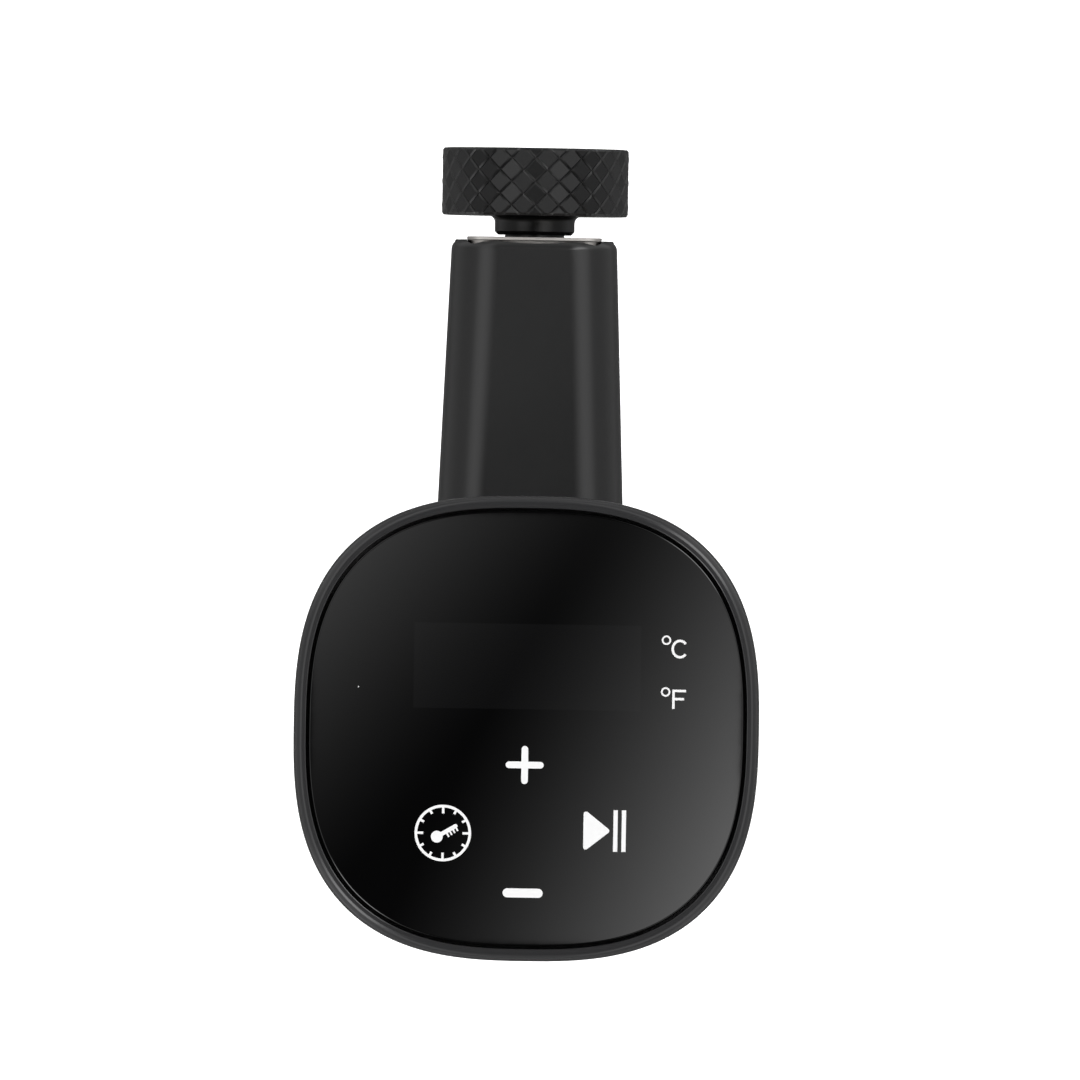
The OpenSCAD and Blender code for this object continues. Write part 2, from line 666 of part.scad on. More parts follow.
module clamp_bracket() color([0.17, 0.17, 0.17]) difference() {
    union() {
        hull() {
            arm_slice(arm_root_w / 2, tube_r - 8);
            for (t = [0 : 18 : 90]) arm_slice(arm_end_w / 2,
                arm_reach - arm_end_round + arm_end_round * sin(t), arm_end_round * (1 - cos(t)));
        }
        translate([-arm_root_w / 2 + 1, tube_r - 8, saddle_low])
            cube([arm_root_w - 2, saddle_t + 8, arm_low + 2 - saddle_low]);
        translate([-leg_r_out, leg_y, clamp_z]) cube([2 * leg_r_out, leg_t, arm_low + 2 - clamp_z]);
        along_y(leg_r_out, leg_y, leg_t);
    }
    translate([0, 0, saddle_low - 1]) cylinder(r = tube_r + 0.1, h = arm_top - saddle_low + 2);
    along_y(bush_r, leg_y - 1, leg_t + 2);
    end_plate_shape(plate_gap, plate_t + 5);
    bracket_screw_holes(tube_r - 6, saddle_t + 5);
}

// Four screws go from inside the tube into the clamp's saddle
module bracket_screw_holes(y, len, r = bracket_screw_r) for (x = [-1, 1], z = bracket_screw_z)
    translate([x * bracket_screw_x, y, z]) rotate([-90, 0, 0]) cylinder(r = r, h = len);

module bracket_screws() color("silver") difference() {
    union() {
        bracket_screw_holes(tube_ir - 3.2, tube_wall + 3.2 + saddle_t - 2);
        bracket_screw_holes(tube_ir - 5, 2.6, 2.8);
    }
    difference() {
        translate([0, 0, clamp_z - 20]) cylinder(r = tube_r, h = 60);
        translate([0, 0, clamp_z - 21]) cylinder(r = tube_ir, h = 62);
        bracket_screw_holes(tube_ir - 5, tube_wall + 10);
    }
}

module jaw_pad() color([0.08, 0.08, 0.08])
    translate([-arm_root_w / 2 + 4, saddle_y, clamp_z - 15]) cube([arm_root_w - 8, jaw_pad_t, 30]);

// An upright plate t thick, round below about the screw and with a gently arched top; grow widens it all round
module end_plate_shape(grow, t) {
    r = plate_r + grow;
    top = plate_top + grow;
    translate([0, plate_y + t, 0]) rotate([90, 0, 0]) linear_extrude(t)
        offset(r = plate_corner_r) offset(delta = -plate_corner_r) {
            translate([0, clamp_z]) circle(r = r);
            intersection() {
                translate([-r, clamp_z]) square([2 * r, top - clamp_z]);
                translate([0, top - plate_arch_r]) circle(r = plate_arch_r);
            }
        }
}

module end_plate() color([0.75, 0.74, 0.72]) difference() {
    end_plate_shape(0, plate_t);
    along_y(plate_hole_r, plate_y - 1, plate_t + 2);
}

module threaded_bush() color("goldenrod") difference() {
    along_y(bush_r, leg_y + 0.5, plate_y - leg_y - 0.5);
    along_y(screw_r + run_gap, leg_y - 1, leg_t + 2);
}

module clamp_screw() color([0.3, 0.3, 0.3]) {
    along_y(button_r, foot_back - button_room, button_len);
    along_y(neck_pin_r, foot_back - button_room, shoulder_y - foot_back + button_room);
    along_y(screw_r, shoulder_y, knob_end - screw_end - shoulder_y);
}

// The knob's half profile as [radius, distance from the plate]: shoulder, hub, fillet, rim, recess, screw hole
knob_profile = concat(
    [[screw_r, 0], [shoulder_r, 0], [shoulder_r, shoulder_len],
        [hub_d / 2 - hub_chamfer, shoulder_len], [hub_d / 2, shoulder_len + hub_chamfer]],
    [for (t = [0 : 15 : 90]) [hub_d / 2 + hub_fillet * (1 - cos(t)),
        shoulder_len + hub_len - hub_fillet * (1 - sin(t))]],
    [[knob_d / 2 - knob_chamfer, shoulder_len + hub_len], [knob_d / 2, shoulder_len + hub_len + knob_chamfer],
        [knob_d / 2, knob_depth - knob_chamfer], [knob_d / 2 - knob_chamfer, knob_depth],
        [knob_cap_r, knob_depth], [knob_cap_r, knob_depth - knob_recess],
        [0, knob_depth - knob_recess], [0, knob_depth - screw_end], [screw_r, knob_depth - screw_end]]);

module clamp_knob() color([0.13, 0.13, 0.13]) translate([0, hub_y - shoulder_len, clamp_z])
    rotate([-90, 0, 0]) rotate_extrude() polygon(knob_profile);

module knob_cap() color([0.1, 0.1, 0.1]) along_y(knob_cap_r - 0.1, knob_end - knob_recess, knob_recess - 0.3);

module foot_plate() color([0.15, 0.15, 0.15]) difference() {
    union() {
        along_y(foot_d / 2, foot_y + foot_pad_t, foot_plate_t);
        along_y(foot_hub_r, foot_y + foot_pad_t, foot_plate_t + foot_hub_len);
    }
    along_y(button_r + run_gap, foot_back - button_room, button_room + 1);
}

module foot_pad() color([0.08, 0.08, 0.08]) along_y(foot_d / 2 - 0.4, foot_y, foot_pad_t);

module foot_retainer() color("silver") difference() {
    along_y(foot_hub_r - 0.8, foot_back, retainer_t);
    along_y(neck_pin_r + run_gap, foot_back - 1, 4);
}

touch_glass();
bezel_ring();
panel_gasket();
panel_frame();
head_shell();
head_screws();
display_board();
display_module();
touch_springs();
icon_leds();
buzzer();
board_standoffs();
power_board();
power_relay();
mains_capacitors();
transformer();
terminal_block();
vent_ring();
body_tube();
cord_gland();
gland_nut();
motor_plate();
motor_plate_screws();
motor_screws();
motor_housing();
motor_stator();
motor_bearings();
rotor_core();
motor_shaft();
cooling_fan();
shaft_coupling();
bulkhead();
bulkhead_seal();
shaft_seal();
pump_bearing();
pump_shaft();
impeller();
impeller_clip();
heater_coil();
heater_terminals();
temperature_probe();
level_sensors();
skirt();
skirt_collar();
foot_cap();
clamp_bracket();
bracket_screws();
jaw_pad();
end_plate();
threaded_bush();
clamp_screw();
clamp_knob();
knob_cap();
foot_plate();
foot_pad();
foot_retainer();
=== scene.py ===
"""Looks of a sous vide circulator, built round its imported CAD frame.

Laid out as an add-on: sizes and colours are properties, each piece has its operator, and main() calls
them in order. Shapes are worked out in millimetres and scaled to metres when their mesh is made.
"""

import json
import math

import bmesh
import bpy
import numpy as np
from bpy.props import FloatProperty, FloatVectorProperty, IntProperty, PointerProperty
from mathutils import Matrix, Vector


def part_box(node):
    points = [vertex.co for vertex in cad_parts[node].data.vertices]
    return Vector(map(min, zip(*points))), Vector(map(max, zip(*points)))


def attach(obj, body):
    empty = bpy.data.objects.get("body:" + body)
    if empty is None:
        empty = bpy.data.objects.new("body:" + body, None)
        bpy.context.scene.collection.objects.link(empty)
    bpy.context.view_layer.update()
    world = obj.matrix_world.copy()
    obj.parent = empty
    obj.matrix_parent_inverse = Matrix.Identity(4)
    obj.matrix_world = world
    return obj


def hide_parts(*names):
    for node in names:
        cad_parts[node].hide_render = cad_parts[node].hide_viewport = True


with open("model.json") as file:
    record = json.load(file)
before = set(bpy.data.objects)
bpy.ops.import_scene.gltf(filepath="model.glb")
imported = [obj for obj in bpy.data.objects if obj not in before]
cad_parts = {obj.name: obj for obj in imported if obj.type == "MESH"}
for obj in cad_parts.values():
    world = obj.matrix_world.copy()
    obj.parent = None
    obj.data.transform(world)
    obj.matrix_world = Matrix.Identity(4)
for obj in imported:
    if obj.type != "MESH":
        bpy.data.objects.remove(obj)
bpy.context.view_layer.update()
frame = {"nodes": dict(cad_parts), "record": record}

bl_info = {
    "name": "Sous vide circulator",
    "version": (1, 0, 0),
    "blender": (4, 5, 0),
    "location": "3D View > Sidebar > Circulator",
    "description": "Builds the looks of an immersion circulator round its CAD frame",
    "category": "Add Mesh",
}

MM = 0.001
TURN = 2 * math.pi


def extent(node):
    """Lowest and highest corner of a CAD node, in millimetres."""
    low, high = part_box(node)
    return np.array(low) / MM, np.array(high) / MM


def length(name, about, millimetres):
    """A length property that starts at that many millimetres."""
    return FloatProperty(name=name, description=about, default=millimetres * MM, unit="LENGTH",
                         precision=5, min=0.0)


def whole(name, about, start, least, most):
    """A whole-number property."""
    return IntProperty(name=name, description=about, default=start, min=least, max=most)


def amount(name, about, start, least=0.0, **more):
    """A plain number property."""
    return FloatProperty(name=name, description=about, default=start, min=least, **more)


def colour(name, about, value):
    """A colour property."""
    return FloatVectorProperty(name=name, description=about, default=value, subtype="COLOR",
                               size=3, min=0.0, max=1.0)


class HeadSizes(bpy.types.PropertyGroup):
    """Sizes of the touch panel and the head."""

    squareness: FloatProperty(name="Squareness", default=2.7, min=2.0, max=4.0,
                              description="Exponent of the head's outline: 2 is a circle, more is squarer")
    glass_edge: length("Glass edge", "Radius of the glass plate's ground edge", 0.35)
    bezel_flat: length("Bezel flat", "Width of the flat inner part of the bezel's top", 0.55)
    bezel_round: length("Bezel rounding", "Height over which the bezel's top rounds down", 2.9)
    print_height: length("Print height", "Thickness of the printed signs on the glass", 0.04)
    stroke: length("Stroke", "Width of the thin strokes of the printed signs", 0.55)


class BodySizes(bpy.types.PropertyGroup):
    """Sizes of the tube, the skirt and what hangs below them."""

    edge: length("Edge", "Radius of the moulded edges", 0.5)
    flutes: whole("Flutes", "Number of flutes round the skirt's grip collar", 36, 8, 72)
    flute_radius: length("Flute radius", "Radius of the round cutter of a flute", 0.9)
    vent_slots: whole("Vent slots", "Number of slots round the vent ring", 20, 6, 36)
    outlet_slots: whole("Outlet slots", "Number of outlet slots round the skirt", 10, 4, 16)
    heater_sides: whole("Heater sides", "Number of sides of the heater's round tube", 20, 8, 48)


class ClampSizes(bpy.types.PropertyGroup):
    """Sizes of the clamp, its screw and its knob."""

    arm_round: length("Arm rounding", "Radius of the arm's long upper edges", 10.0)
    fillet: length("Fillet", "Radius of the inner corners of the bracket", 3.5)
    diamonds: whole("Diamonds", "Number of knurl diamonds round the knob", 24, 12, 48)
    diamond_pitch: length("Diamond pitch", "Distance between knurl diamonds along the knob's axis", 4.86)
    knurl_depth: length("Knurl depth", "Depth of the knurl's grooves", 0.32)
    thread_pitch: length("Thread pitch", "Advance of the clamp screw in one turn", 2.0)
    thread_depth: length("Thread depth", "Depth of the clamp screw's thread", 0.9)


class Finishes(bpy.types.PropertyGroup):
    """Colours of the finishes."""

    glass: colour("Glass", "Black ink behind the touch glass", (0.0012, 0.0012, 0.0013))
    window: colour("Window", "Smoked window over the number display", (0.0036, 0.0036, 0.0038))
    sign: colour("Signs", "White ink of the printed signs", (0.86, 0.86, 0.86))
    gloss: colour("Gloss plastic", "Bezel and knob cap", (0.028, 0.028, 0.029))
    satin: colour("Satin plastic", "Head, tube and clamp", (0.013, 0.013, 0.0132))
    knob: colour("Knob plastic", "Knurled knob", (0.005, 0.005, 0.0052))
    rubber: colour("Rubber", "Pads, gland and seals", (0.014, 0.014, 0.0142))
    steel: colour("Steel", "Skirt and other bare steel", (0.62, 0.615, 0.605))
    floor: colour("Floor", "Plain pale floor", (0.82, 0.82, 0.82))


class StudioSizes(bpy.types.PropertyGroup):
    """Places of the camera, the floor and the gradient card."""

    camera_height: amount("Camera height", "Height of the camera above the touch glass", 8.0, 1.0,
                          unit="LENGTH")
    picture_width: amount("Picture width", "Width of the picture at the touch glass", 0.21796, 0.05,
                          unit="LENGTH")
    aim: FloatVectorProperty(name="Aim", default=(0.00214, 0.0381), size=2, unit="LENGTH",
                             description="Where the picture's centre meets the touch glass")
    roll: FloatProperty(name="Roll", default=math.radians(0.94), subtype="ANGLE",
                        description="Turn of the camera about its own axis")
    floor_drop: amount("Floor drop", "Depth of the floor below the foot, clear of the lowered skirt", 0.166,
                       unit="LENGTH")
    card_height: amount("Card height", "Height of the gradient card above the touch glass", 3.0, 0.5,
                        unit="LENGTH")
    strip_light: amount("Strip light", "Brightness of the two overhead strips", 1.2)
    panel_light: amount("Panel light", "Brightness of the four corner panels", 1.0)
    corner_light: amount("Corner light", "Brightness of the two narrow strips over opposite corners", 5.5)
    floor_glow: amount("Floor glow", "Light that the camera sees the floor give off by itself", 0.75)


# ---- Surfaces as grids of points ----


def surface(points, closed=True, loop=False, caps=False):
    """Vertices and faces of a grid of points, rows x columns x 3.

    Each quad joins neighbouring points. closed joins the last column to the first, loop the last row to
    the first, and caps closes the first and last rows with a face each.
    """
    rows, cols = points.shape[:2]
    r, c = np.meshgrid(np.arange(rows if loop else rows - 1),
                       np.arange(cols if closed else cols - 1), indexing="ij")
    r2, c2 = (r + 1) % rows, (c + 1) % cols
    corners = [r * cols + c, r * cols + c2, r2 * cols + c2, r2 * cols + c]
    faces = np.stack(corners, -1).reshape(-1, 4).tolist()
    if caps:
        faces += [list(range(cols))[::-1], list(range((rows - 1) * cols, rows * cols))]
    return points.reshape(-1, 3), faces


def rounded(corners, radius, steps=5):
    """A polyline with round corners, as (n, 2) points.

    radius is one number or one for each corner. The arc at a corner P between the tangent points A and B
    is the rational curve ((1-s)^2 A + 2 w s (1-s) P + s^2 B) / ((1-s)^2 + 2 w s (1-s) + s^2), with w the
    sine of half the corner's angle, which is an exact circle. The ends have radius 0 in an open line.
    """
    p = np.asarray(corners, float)
    radius = np.broadcast_to(np.asarray(radius, float), len(p))
    before, after = np.roll(p, 1, 0) - p, np.roll(p, -1, 0) - p
    len_b, len_a = np.linalg.norm(before, axis=1), np.linalg.norm(after, axis=1)
    before, after = before / len_b[:, None], after / len_a[:, None]
    half = np.arccos(np.clip((before * after).sum(1), -1, 1)) / 2
    reach = np.minimum(radius / np.tan(np.maximum(half, 1e-6)), np.minimum(len_a, len_b) / 2)
    start, end = p + before * reach[:, None], p + after * reach[:, None]
    s = np.linspace(0, 1, steps)[None, :, None]
    w = np.sin(half)[:, None, None]
    top = (1 - s) ** 2 * start[:, None] + 2 * w * s * (1 - s) * p[:, None] + s ** 2 * end[:, None]
    arcs = top / ((1 - s) ** 2 + 2 * w * s * (1 - s) + s ** 2)
    arcs = np.where((radius > 0)[:, None, None], arcs, p[:, None])
    points = arcs.reshape(-1, 2)
    keep = np.r_[True, np.linalg.norm(np.diff(points, axis=0), axis=1) > 1e-6]
    return points[keep]


def turned(profile, axis="Z", centre=(0, 0, 0), count=96):
    """Points of a turned shape: each (radius, height) of the profile carried round the axis.

    About Z the point is (r cos a, r sin a, h), about Y (r sin a, h, r cos a), and about X
    (h, r cos a, r sin a). radius may be a row of radii, one for each angle a.
    """
    a = np.linspace(0, TURN, count, endpoint=False)
    r, h = (np.array([np.broadcast_to(p[k], count) for p in profile], float) for k in (0, 1))
    u, v = r * np.cos(a), r * np.sin(a)
    order = {"Z": (u, v, h), "Y": (v, h, u), "X": (h, u, v)}[axis]
    return np.stack(order, -1) + np.array(centre, float)


def square_rings(levels, count=240):
    """Points of rounded-square rings round Z, each level being (half width a, height z, exponent n).

    A ring's radius at angle t is a / (|cos t|^n + |sin t|^n)^(1/n).
    """
    t = np.linspace(0, TURN, count, endpoint=False)
    a, z, n = (np.asarray(levels, float)[:, k, None] for k in range(3))
    r = a / (np.abs(np.cos(t)) ** n + np.abs(np.sin(t)) ** n) ** (1 / n)
    return np.stack([r * np.cos(t), r * np.sin(t), z + 0 * r], -1)


def stadium(half_width, reach, across=12, along=10):
    """Outline of a slot with round ends: two straight sides of half length reach and two half circles."""
    s, t = np.linspace(0, 1, along, endpoint=False), np.linspace(0, np.pi, across, endpoint=False)
    right = np.stack([half_width + 0 * s, reach * (2 * s - 1)], -1)
    top = np.stack([half_width * np.cos(t), reach + half_width * np.sin(t)], -1)
    return np.concatenate([right, top, -right, -top])


def rectangle(half_width, half_height, across=12, along=10):
    """Outline of a rectangle with as many points on each side as stadium() has."""
    s, t = np.linspace(0, 1, along, endpoint=False), np.linspace(0, 1, across, endpoint=False)
    right = np.stack([half_width + 0 * s, half_height * (2 * s - 1)], -1)
    top = np.stack([half_width * (1 - 2 * t), half_height + 0 * t], -1)
    return np.concatenate([right, top, -right, -top])


def slotted_tube(r_out, r_in, low, high, count, slot_r, slot_low, slot_high, edge, margin, phase):
    """Surfaces of a tube with count upright slots.

    Round each slot the wall is a fan of rows from the slot's outline to a rectangle one count-th of the
    tube wide, bent onto the cylinder: (x, z) goes to the angle x / r_out and the height z. The slot's
    edge is rounded between the outer and the inner face. Plain rings close the tube above and below.
    """
    middle, reach = (slot_low + slot_high) / 2, (slot_high - slot_low) / 2 - slot_r
    cell_w, cell_h = math.pi * r_out / count, (slot_high - slot_low) / 2 + margin
    quarter = np.linspace(0, np.pi / 2, 4)
    lip_out = [(edge * (1 - np.sin(t)), r_out - edge * (1 - np.cos(t))) for t in quarter]
    lip_in = [(edge * (1 - np.sin(t)), r_in + edge * (1 - np.cos(t))) for t in quarter[::-1]]
    border = rectangle(cell_w, cell_h)
    fan = np.linspace(1, 0, 7)[:-1, None, None]
    rim = stadium(slot_r + edge, reach)
    spread = fan * border + (1 - fan) * rim
    lips = np.array([stadium(slot_r + grow, reach) for grow, _ in lip_out + lip_in])
    flat = np.concatenate([spread, lips, spread[::-1]])
    radii = np.concatenate([np.full(6, r_out), [r for _, r in lip_out + lip_in], np.full(6, r_in)])[:, None]
    turns = [TURN * (k + phase) / count for k in range(count)]
    cells = []
    for turn in turns:
        a = flat[..., 0] / r_out + turn
        cells.append(surface(np.stack([radii * np.cos(a), radii * np.sin(a), flat[..., 1] + middle], -1)))
    share = np.linspace(1, -1, 13)[:-1] * math.pi / count
    angles = np.sort(np.concatenate([share + turn for turn in turns]))
    for side, end in ((-1, low), (1, high)):
        joint = middle + side * cell_h
        line = rounded([(r_out, joint), (r_out, end), (r_in, end), (r_in, joint)], [0, edge, edge, 0])
        points = np.stack([line[:, :1] * np.cos(angles), line[:, :1] * np.sin(angles),
                           line[:, 1:] + 0 * angles], -1)
        cells.append(surface(points))
    return cells


def prism(outline, start, end, edge, order):
    """A closed outline (n, 2) carried from start to end, its rims rounded by edge.

    Near an end the outline is set in along its own normals by edge (1 - sin t) while the place goes on by
    edge (1 - cos t). order says which of (first, second, place) each of x, y and z is.
    """
    ahead = np.roll(outline, -1, 0) - np.roll(outline, 1, 0)
    normal = np.stack([ahead[:, 1], -ahead[:, 0]], -1) / np.linalg.norm(ahead, axis=1)[:, None]
    area = (outline[:, 0] * np.roll(outline[:, 1], -1) - outline[:, 1] * np.roll(outline[:, 0], -1)).sum()
    normal *= np.sign(area)
    t = np.linspace(0, np.pi / 2, 5)
    inset = np.concatenate([edge * (1 - np.sin(t)), edge * (1 - np.sin(t[::-1]))])
    place = np.concatenate([start + edge * (1 - np.cos(t)), end - edge * (1 - np.cos(t[::-1]))])
    rows = outline[None] - inset[:, None, None] * normal[None]
    full = np.concatenate([rows, np.broadcast_to(place[:, None, None], rows.shape[:2] + (1,))], -1)
    return surface(full[..., list(order)], caps=True)


# ---- Pieces ----


def raw_piece(name, surfaces):
    """An object with the surfaces in one mesh, seams and poles welded and faces pointing outwards."""
    points, faces, start = [], [], 0
    for vertices, corners in surfaces:
        points.append(np.asarray(vertices, float) * MM)
        faces += [[k + start for k in face] for face in corners]
        start += len(vertices)
    mesh = bpy.data.meshes.new(name)
    mesh.from_pydata(np.concatenate(points), [], faces)
    build = bmesh.new()
    build.from_mesh(mesh)
    bmesh.ops.remove_doubles(build, verts=build.verts, dist=1e-6)
    bmesh.ops.dissolve_degenerate(build, edges=build.edges, dist=1e-7)
    bmesh.ops.recalc_face_normals(build, faces=build.faces)
    build.to_mesh(mesh)
    build.free()
    thing = bpy.data.objects.new(name, mesh)
    bpy.context.scene.collection.objects.link(thing)
    return thing


def carve(thing, surfaces, operation="DIFFERENCE"):
    """Cuts the surfaces' shape from the thing, or joins it on, and keeps the result as its mesh."""
    tool = raw_piece("cutter", surfaces)
    step = thing.modifiers.new("carve", "BOOLEAN")
    step.operation, step.object, step.solver = operation, tool, "MANIFOLD"
    bpy.context.view_layer.update()
    made = bpy.data.meshes.new_from_object(thing.evaluated_get(bpy.context.evaluated_depsgraph_get()))
    if len(made.polygons) < 6:
        raise RuntimeError(f"{thing.name}: the {operation.lower()} left no shape")
    thing.modifiers.clear()
    old, thing.data = thing.data, made
    made.name = thing.name
    bpy.data.meshes.remove(old)
    bpy.data.objects.remove(tool)


def finished(thing, slot, body, stands_for=(), sharp=32.0, finish=None):
    """Smooths the thing up to a sharp angle, gives it its finish, and puts it on its body."""
    mesh = thing.data
    mesh.materials.clear()
    mesh.materials.append(finish_of(finish or slot))
    mesh.shade_smooth()
    mesh.set_sharp_from_angle(angle=math.radians(sharp))
    even = thing.modifiers.new("even_normals", "WEIGHTED_NORMAL")
    even.keep_sharp = True
    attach(thing, body)
    if stands_for:
        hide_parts(*stands_for)
    return thing


def piece(name, surfaces, slot, body, stands_for=(), sharp=32.0, finish=None):
    """A finished piece made straight from its surfaces."""
    return finished(raw_piece(name, surfaces), slot, body, stands_for, sharp, finish)


# ---- Finishes ----


def new_group(name, numbers, results):
    """Wiring, inputs and outputs of a new shader group that takes a vector and numbers and gives numbers.

    It is None if the group is there already.
    """
    if name in bpy.data.node_groups:
        return None
    group = bpy.data.node_groups.new(name, "ShaderNodeTree")
    group.interface.new_socket(name="Vector", in_out="INPUT", socket_type="NodeSocketVector")
    for label, value in numbers.items():
        socket = group.interface.new_socket(name=label, in_out="INPUT", socket_type="NodeSocketFloat")
        socket.default_value = value
    for label in results:
        group.interface.new_socket(name=label, in_out="OUTPUT", socket_type="NodeSocketFloat")
    w = Wiring(group)
    return w, w.add("NodeGroupInput").outputs, w.add("NodeGroupOutput").inputs


def new_material(name):
    """A new material, its wiring, its Principled shader and its output node."""
    made = bpy.data.materials.new(name)
    made.use_nodes = True
    nodes = made.node_tree.nodes
    return made, Wiring(made.node_tree), nodes["Principled BSDF"], nodes["Material Output"]


class Wiring:
    """Short ways to add and join nodes of one tree."""

    def __init__(self, tree):
        self.tree = tree

    def add(self, kind, **values):
        """A node of that kind, with settings by attribute name."""
        node = self.tree.nodes.new(kind)
        for key, value in values.items():
            setattr(node, key, value)
        return node

    def feed(self, socket, source):
        """Joins a source socket to a socket, or sets its value."""
        if isinstance(source, bpy.types.NodeSocket):
            self.tree.links.new(source, socket)
        else:
            socket.default_value = source

    def math(self, operation, first, second=0.0, third=0.0, clamp=False):
        """The output of a Math node."""
        node = self.add("ShaderNodeMath", operation=operation, use_clamp=clamp)
        for socket, source in zip(node.inputs, (first, second, third)):
            self.feed(socket, source)
        return node.outputs[0]

    def ramp(self, value, low, high, start=0.0, end=1.0):
        """A smooth step of value from low to high, mapped to start and end."""
        node = self.add("ShaderNodeMapRange", interpolation_type="SMOOTHSTEP", clamp=True)
        for key, source in zip(("Value", "From Min", "From Max", "To Min", "To Max"),
                               (value, low, high, start, end)):
            self.feed(node.inputs[key], source)
        return node.outputs["Result"]

    def noise(self, vector, scale, detail=2.0, roughness=0.5):
        """The grey value of a Noise texture."""
        node = self.add("ShaderNodeTexNoise")
        self.feed(node.inputs["Vector"], vector)
        self.feed(node.inputs["Scale"], scale)
        self.feed(node.inputs["Detail"], detail)
        self.feed(node.inputs["Roughness"], roughness)
        return node.outputs[0]

    def place(self):
        """The piece's own coordinates."""
        return self.add("ShaderNodeTexCoord").outputs["Object"]

    def split(self, vector):
        """The three numbers of a vector."""
        node = self.add("ShaderNodeSeparateXYZ")
        self.feed(node.inputs[0], vector)
        return node.outputs

    def tone(self, value, contrast):
        """One plus the contrast times the value's distance from a half."""
        spread = self.math("MULTIPLY", self.math("SUBTRACT", value, 0.5), contrast)
        return self.math("ADD", spread, 1.0)

    def blend(self, out, share, first, second):
        """Feeds an output with a mix of two shaders."""
        mix = self.add("ShaderNodeMixShader")
        for socket, source in zip(mix.inputs, (share, first, second)):
            self.feed(socket, source)
        self.feed(out.inputs["Surface"], mix.outputs[0])

    def group(self, name, **inputs):
        """A placed shader group with its inputs set; underscores stand for spaces."""
        node = self.add("ShaderNodeGroup")
        node.node_tree = bpy.data.node_groups[name]
        for key, source in inputs.items():
            self.feed(node.inputs[key.replace("_", " ")], source)
        return node


def make_groups():
    """Builds the shared effects once: moulded grain, turned lines and handling marks."""
    made = new_group("moulded_grain", {"Scale": 4000.0, "Contrast": 0.1}, ["Height", "Tone"])
    if made:
        w, given, out = made
        fine = w.noise(given["Vector"], given["Scale"], 3.0, 0.62)
        broad = w.noise(given["Vector"], 55.0, 2.0, 0.5)
        w.feed(out["Height"], fine)
        mixed = w.math("MULTIPLY_ADD", broad, 0.6, w.math("MULTIPLY", fine, 0.4))
        w.feed(out["Tone"], w.tone(mixed, given["Contrast"]))
    made = new_group("turned_lines", {"Scale": 3000.0, "Contrast": 0.2}, ["Height", "Tone"])
    if made:
        w, given, out = made
        x, y, z = w.split(given["Vector"])
        radius = w.math("SQRT", w.math("ADD", w.math("MULTIPLY", x, x), w.math("MULTIPLY", y, y)))
        join = w.add("ShaderNodeCombineXYZ")
        w.feed(join.inputs[0], w.math("MULTIPLY", radius, given["Scale"]))
        w.feed(join.inputs[1], w.math("MULTIPLY", z, given["Scale"]))
        w.feed(join.inputs[2], w.math("MULTIPLY", w.math("ARCTAN2", y, x), 1.5))
        lines = w.noise(join.outputs[0], 1.0, 2.0, 0.55)
        w.feed(out["Height"], lines)
        w.feed(out["Tone"], w.tone(lines, given["Contrast"]))
    made = new_group("handling_marks", {"Base": 0.3, "Amount": 0.05}, ["Roughness"])
    if made:
        w, given, out = made
        broad = w.noise(given["Vector"], 24.0, 3.0, 0.55)
        fine = w.noise(given["Vector"], 260.0, 2.0, 0.5)
        mixed = w.math("SUBTRACT", w.math("MULTIPLY_ADD", broad, 0.75, w.math("MULTIPLY", fine, 0.25)), 0.5)
        w.feed(out["Roughness"], w.math("MULTIPLY_ADD", mixed, given["Amount"], given["Base"], clamp=True))


def shaded(w, shade, tone):
    """A plain colour multiplied by a tone that changes over the surface."""
    mix = w.add("ShaderNodeVectorMath", operation="SCALE")
    w.feed(mix.inputs[0], tuple(shade))
    w.feed(mix.inputs["Scale"], tone)
    return mix.outputs[0]


def principled(name, shade, rough, rough_spread=0.05, metal=0.0, grain=0.0, grain_scale=4000.0,
               lines=0.0, line_scale=3000.0, along=None, tone_spread=0.15, specular=0.5):
    """A Principled material with its tone, roughness and bump varied by the shared groups.

    grain or lines is the bump's height in millimetres; along turns the lines about another axis than Z.
    """
    made, w, shader, _ = new_material(name + "_finish")
    place = w.place()
    if along == "Y":
        turn = w.add("ShaderNodeMapping")
        w.feed(turn.inputs["Vector"], place)
        turn.inputs["Rotation"].default_value = (math.pi / 2, 0, 0)
        turn.inputs["Location"].default_value = (0.0, 0.187, 0.0)
        place = turn.outputs[0]
    effect, scale = ("turned_lines", line_scale) if lines else ("moulded_grain", grain_scale)
    texture = w.group(effect, Vector=place, Scale=scale, Contrast=tone_spread)
    w.feed(shader.inputs["Base Color"], shaded(w, shade, texture.outputs["Tone"]))
    marks = w.group("handling_marks", Vector=place, Base=rough, Amount=rough_spread)
    w.feed(shader.inputs["Roughness"], marks.outputs["Roughness"])
    if grain or lines:
        bump = w.add("ShaderNodeBump")
        bump.inputs["Strength"].default_value = 1.0
        bump.inputs["Distance"].default_value = (grain or lines) * MM
        w.feed(bump.inputs["Height"], texture.outputs["Height"])
        w.feed(shader.inputs["Normal"], bump.outputs["Normal"])
    shader.inputs["Metallic"].default_value = metal
    shader.inputs["Specular IOR Level"].default_value = specular
    return made


